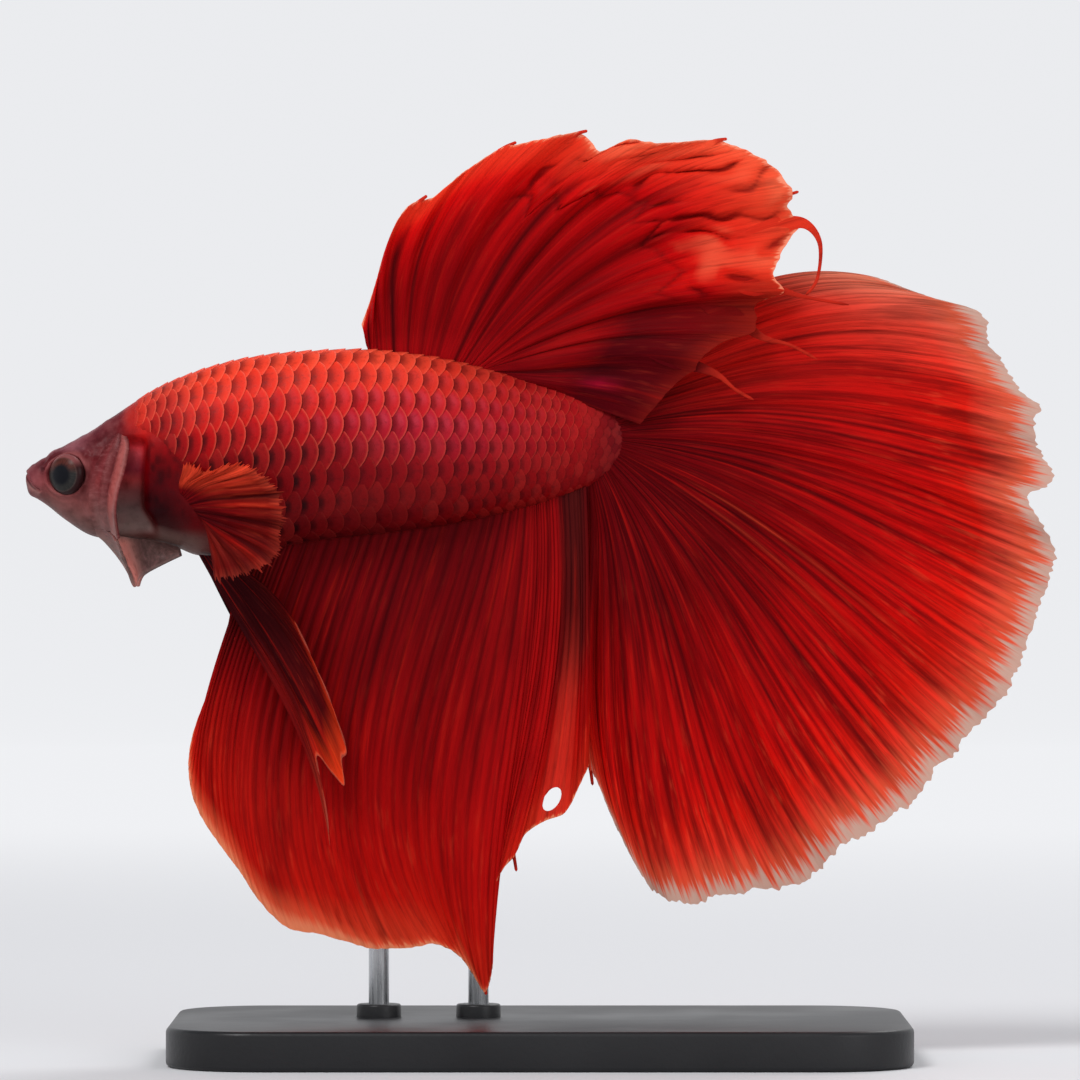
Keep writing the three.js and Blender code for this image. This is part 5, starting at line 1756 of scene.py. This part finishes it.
def make_rod(node_name):
    """A rod of the stand, made finely round."""
    low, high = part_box(node_name)
    points, faces = upright((low + high) / 2, (high.x - low.x) / 2, low.z, high.z, ROD_BEVEL)
    return finish_shell(f"{node_name}_steel", points, faces)


# ---- Putting it together -------------------------------------------------------------------------


def install(piece, material, slot, *nodes):
    """Gives a piece its material and hides the nodes it takes the place of. slot is not used."""
    piece.data.materials.append(material)
    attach(piece, "root")
    if nodes:
        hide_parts(*nodes)


SIDES = (("left", -1), ("right", 1))

install(make_skin(), skin_look(), "body_skin", "head", "lower_jaw", "trunk", "tail_stalk")

scale_material = scale_look()
for name, side in SIDES:
    install(make_scales(f"scales_{name}", side), scale_material, "body_skin")

eye_material = eye_look()
for name, side in SIDES:
    install(make_eye(f"eyeball_{name}", side), eye_material, "eye", f"eye_{name}")

flap_material = flap_look()
for name, side in SIDES:
    cover = make_gill_cover(f"gill_cover_skin_{name}", side)
    install(cover, flap_material, "gill_skin", f"gill_cover_{name}")
    membrane = make_throat_membrane(f"throat_membrane_{name}", side)
    install(membrane, flap_material, "throat_membrane", f"gill_beard_{name}")

fin_materials = {
    "dorsal": fin_look("dorsal fin", (250, 150, 116), 0.22, dashes=0.08, lines=0.12, grain=0.55),
    "caudal": fin_look("caudal fin", (212, 176, 160), 1.0, dashes=0.28),
    "anal": fin_look("anal fin", (236, 140, 100), 0.26, dashes=0.16, lines=0.2, grain=0.7),
    "pectoral": fin_look("pectoral fin", (206, 84, 62), 0.1, dashes=0.1, lines=0.35, grain=0.7),
    "pelvic": fin_look("pelvic fin", (170, 70, 56), 0.12, dashes=0.1, lines=0.4),
}
for kind, rays, filaments, tear in (
    ("dorsal", DORSAL_RAYS, DORSAL_FILAMENTS, None),
    ("caudal", CAUDAL_RAYS, CAUDAL_FILAMENTS, None),
    ("anal", ANAL_RAYS, ANAL_FILAMENTS, ANAL_TEAR),
):
    fin = make_fin(f"{kind}_fin_rays", kind, rays, 1, filaments, tear)
    install(fin, fin_materials[kind], "fin", f"{kind}_fin")
for name, side in SIDES:
    for kind, rays in (("pectoral", PECTORAL_RAYS), ("pelvic", PELVIC_RAYS[name])):
        fin = make_fin(f"{kind}_rays_{name}", kind, rays, side)
        install(fin, fin_materials[kind], f"{kind}_fin", f"{kind}_fin_{name}")

install(make_base(), base_look(), "stand_base", "stand_base")
rod_material = rod_look()
for rod in ("stand_rod_front", "stand_rod_rear"):
    install(make_rod(rod), rod_material, "stand_rod", rod)

# ---- Studio --------------------------------------------------------------------------------------

FLOOR = {"flat": 0.9, "bend": 0.3, "top": 0.7, "sides": 128, "bend_steps": 24}  # metres
MIDDLE = Vector((0, 0, 0.04))
VIEW_WIDTH, VIEW_DISTANCE, VIEW_LEVEL = 0.0822, 0.6, 0.0394


def make_studio():
    """A pale floor that curves up all round into a wall. It glows softly away from the model."""
    flat, bend, sides = FLOOR["flat"], FLOOR["bend"], FLOOR["sides"]
    profile = [(0.3, 0.0), (0.6, 0.0)]
    for turn in np.linspace(0, math.pi / 2, FLOOR["bend_steps"] + 1):
        profile.append((flat + bend * math.sin(turn), bend - bend * math.cos(turn)))
    profile.append((flat + bend, FLOOR["top"]))
    turns = [2 * math.pi * k / sides for k in range(sides)]
    points = [(radius * math.cos(a), radius * math.sin(a), z) for radius, z in profile for a in turns]
    _, _, quads = ring_quads(points, len(profile))
    mesh = bpy.data.meshes.new("studio_floor")
    mesh.from_pydata(points, [], [list(range(sides)), *quads[:, [1, 0, 3, 2]].tolist()])
    mesh.shade_smooth()
    floor = bpy.data.objects.new("studio_floor", mesh)
    bpy.context.scene.collection.objects.link(floor)
    look = Look("pale paper", roughness=0.9, specular=0.2)
    across = look.add("VectorMath", {0: object_place(look), 1: (1, 1, 0)}, operation="MULTIPLY")
    reach = look.add("VectorMath", {0: across.outputs[0]}, operation="LENGTH").outputs["Value"]
    far = look.curve(reach, 0.15, 0.5)
    look.colour(look.blend(linear(218, 218, 220), (0, 0, 0), far))
    look.set("Emission Color", (*linear(234, 235, 238), 1))
    look.tree.links.new(far, look.shader.inputs["Emission Strength"])
    look.material.cycles.emission_sampling = "NONE"
    mesh.materials.append(look.material)


def add_light(name, spot, size, power):
    """A round soft lamp that points at the model's middle."""
    lamp = bpy.data.lights.new(name, "AREA")
    lamp.shape = "DISK"
    lamp.size = size
    lamp.energy = power
    light = bpy.data.objects.new(name, lamp)
    light.location = spot
    light.rotation_euler = (MIDDLE - Vector(spot)).to_track_quat("-Z", "Y").to_euler()
    bpy.context.scene.collection.objects.link(light)


def add_camera():
    """A long lens level with the fish's middle, looking squarely at its left flank."""
    lens = bpy.data.cameras.new("camera")
    lens.sensor_width = 36
    lens.lens = lens.sensor_width * VIEW_DISTANCE / VIEW_WIDTH
    lens.clip_start = 0.05
    camera = bpy.data.objects.new("camera", lens)
    camera.location = (0, -VIEW_DISTANCE, VIEW_LEVEL)
    camera.rotation_euler = (math.pi / 2, 0, 0)
    bpy.context.scene.collection.objects.link(camera)
    bpy.context.scene.camera = camera


make_studio()
add_light("key", (-0.28, -0.42, 0.62), 0.3, 3.3)
add_light("fill", (0.45, -0.5, 0.25), 0.45, 0.9)
add_light("rim", (0.25, 0.4, 0.5), 0.3, 1.6)
add_camera()

scene = bpy.context.scene
scene.view_settings.view_transform = "Standard"
world = bpy.data.worlds.new("studio")
world.use_nodes = True
sky = world.node_tree.nodes["Background"].inputs
sky["Color"].default_value = (0.9, 0.93, 1.0, 1)
sky["Strength"].default_value = 0.32
scene.world = world
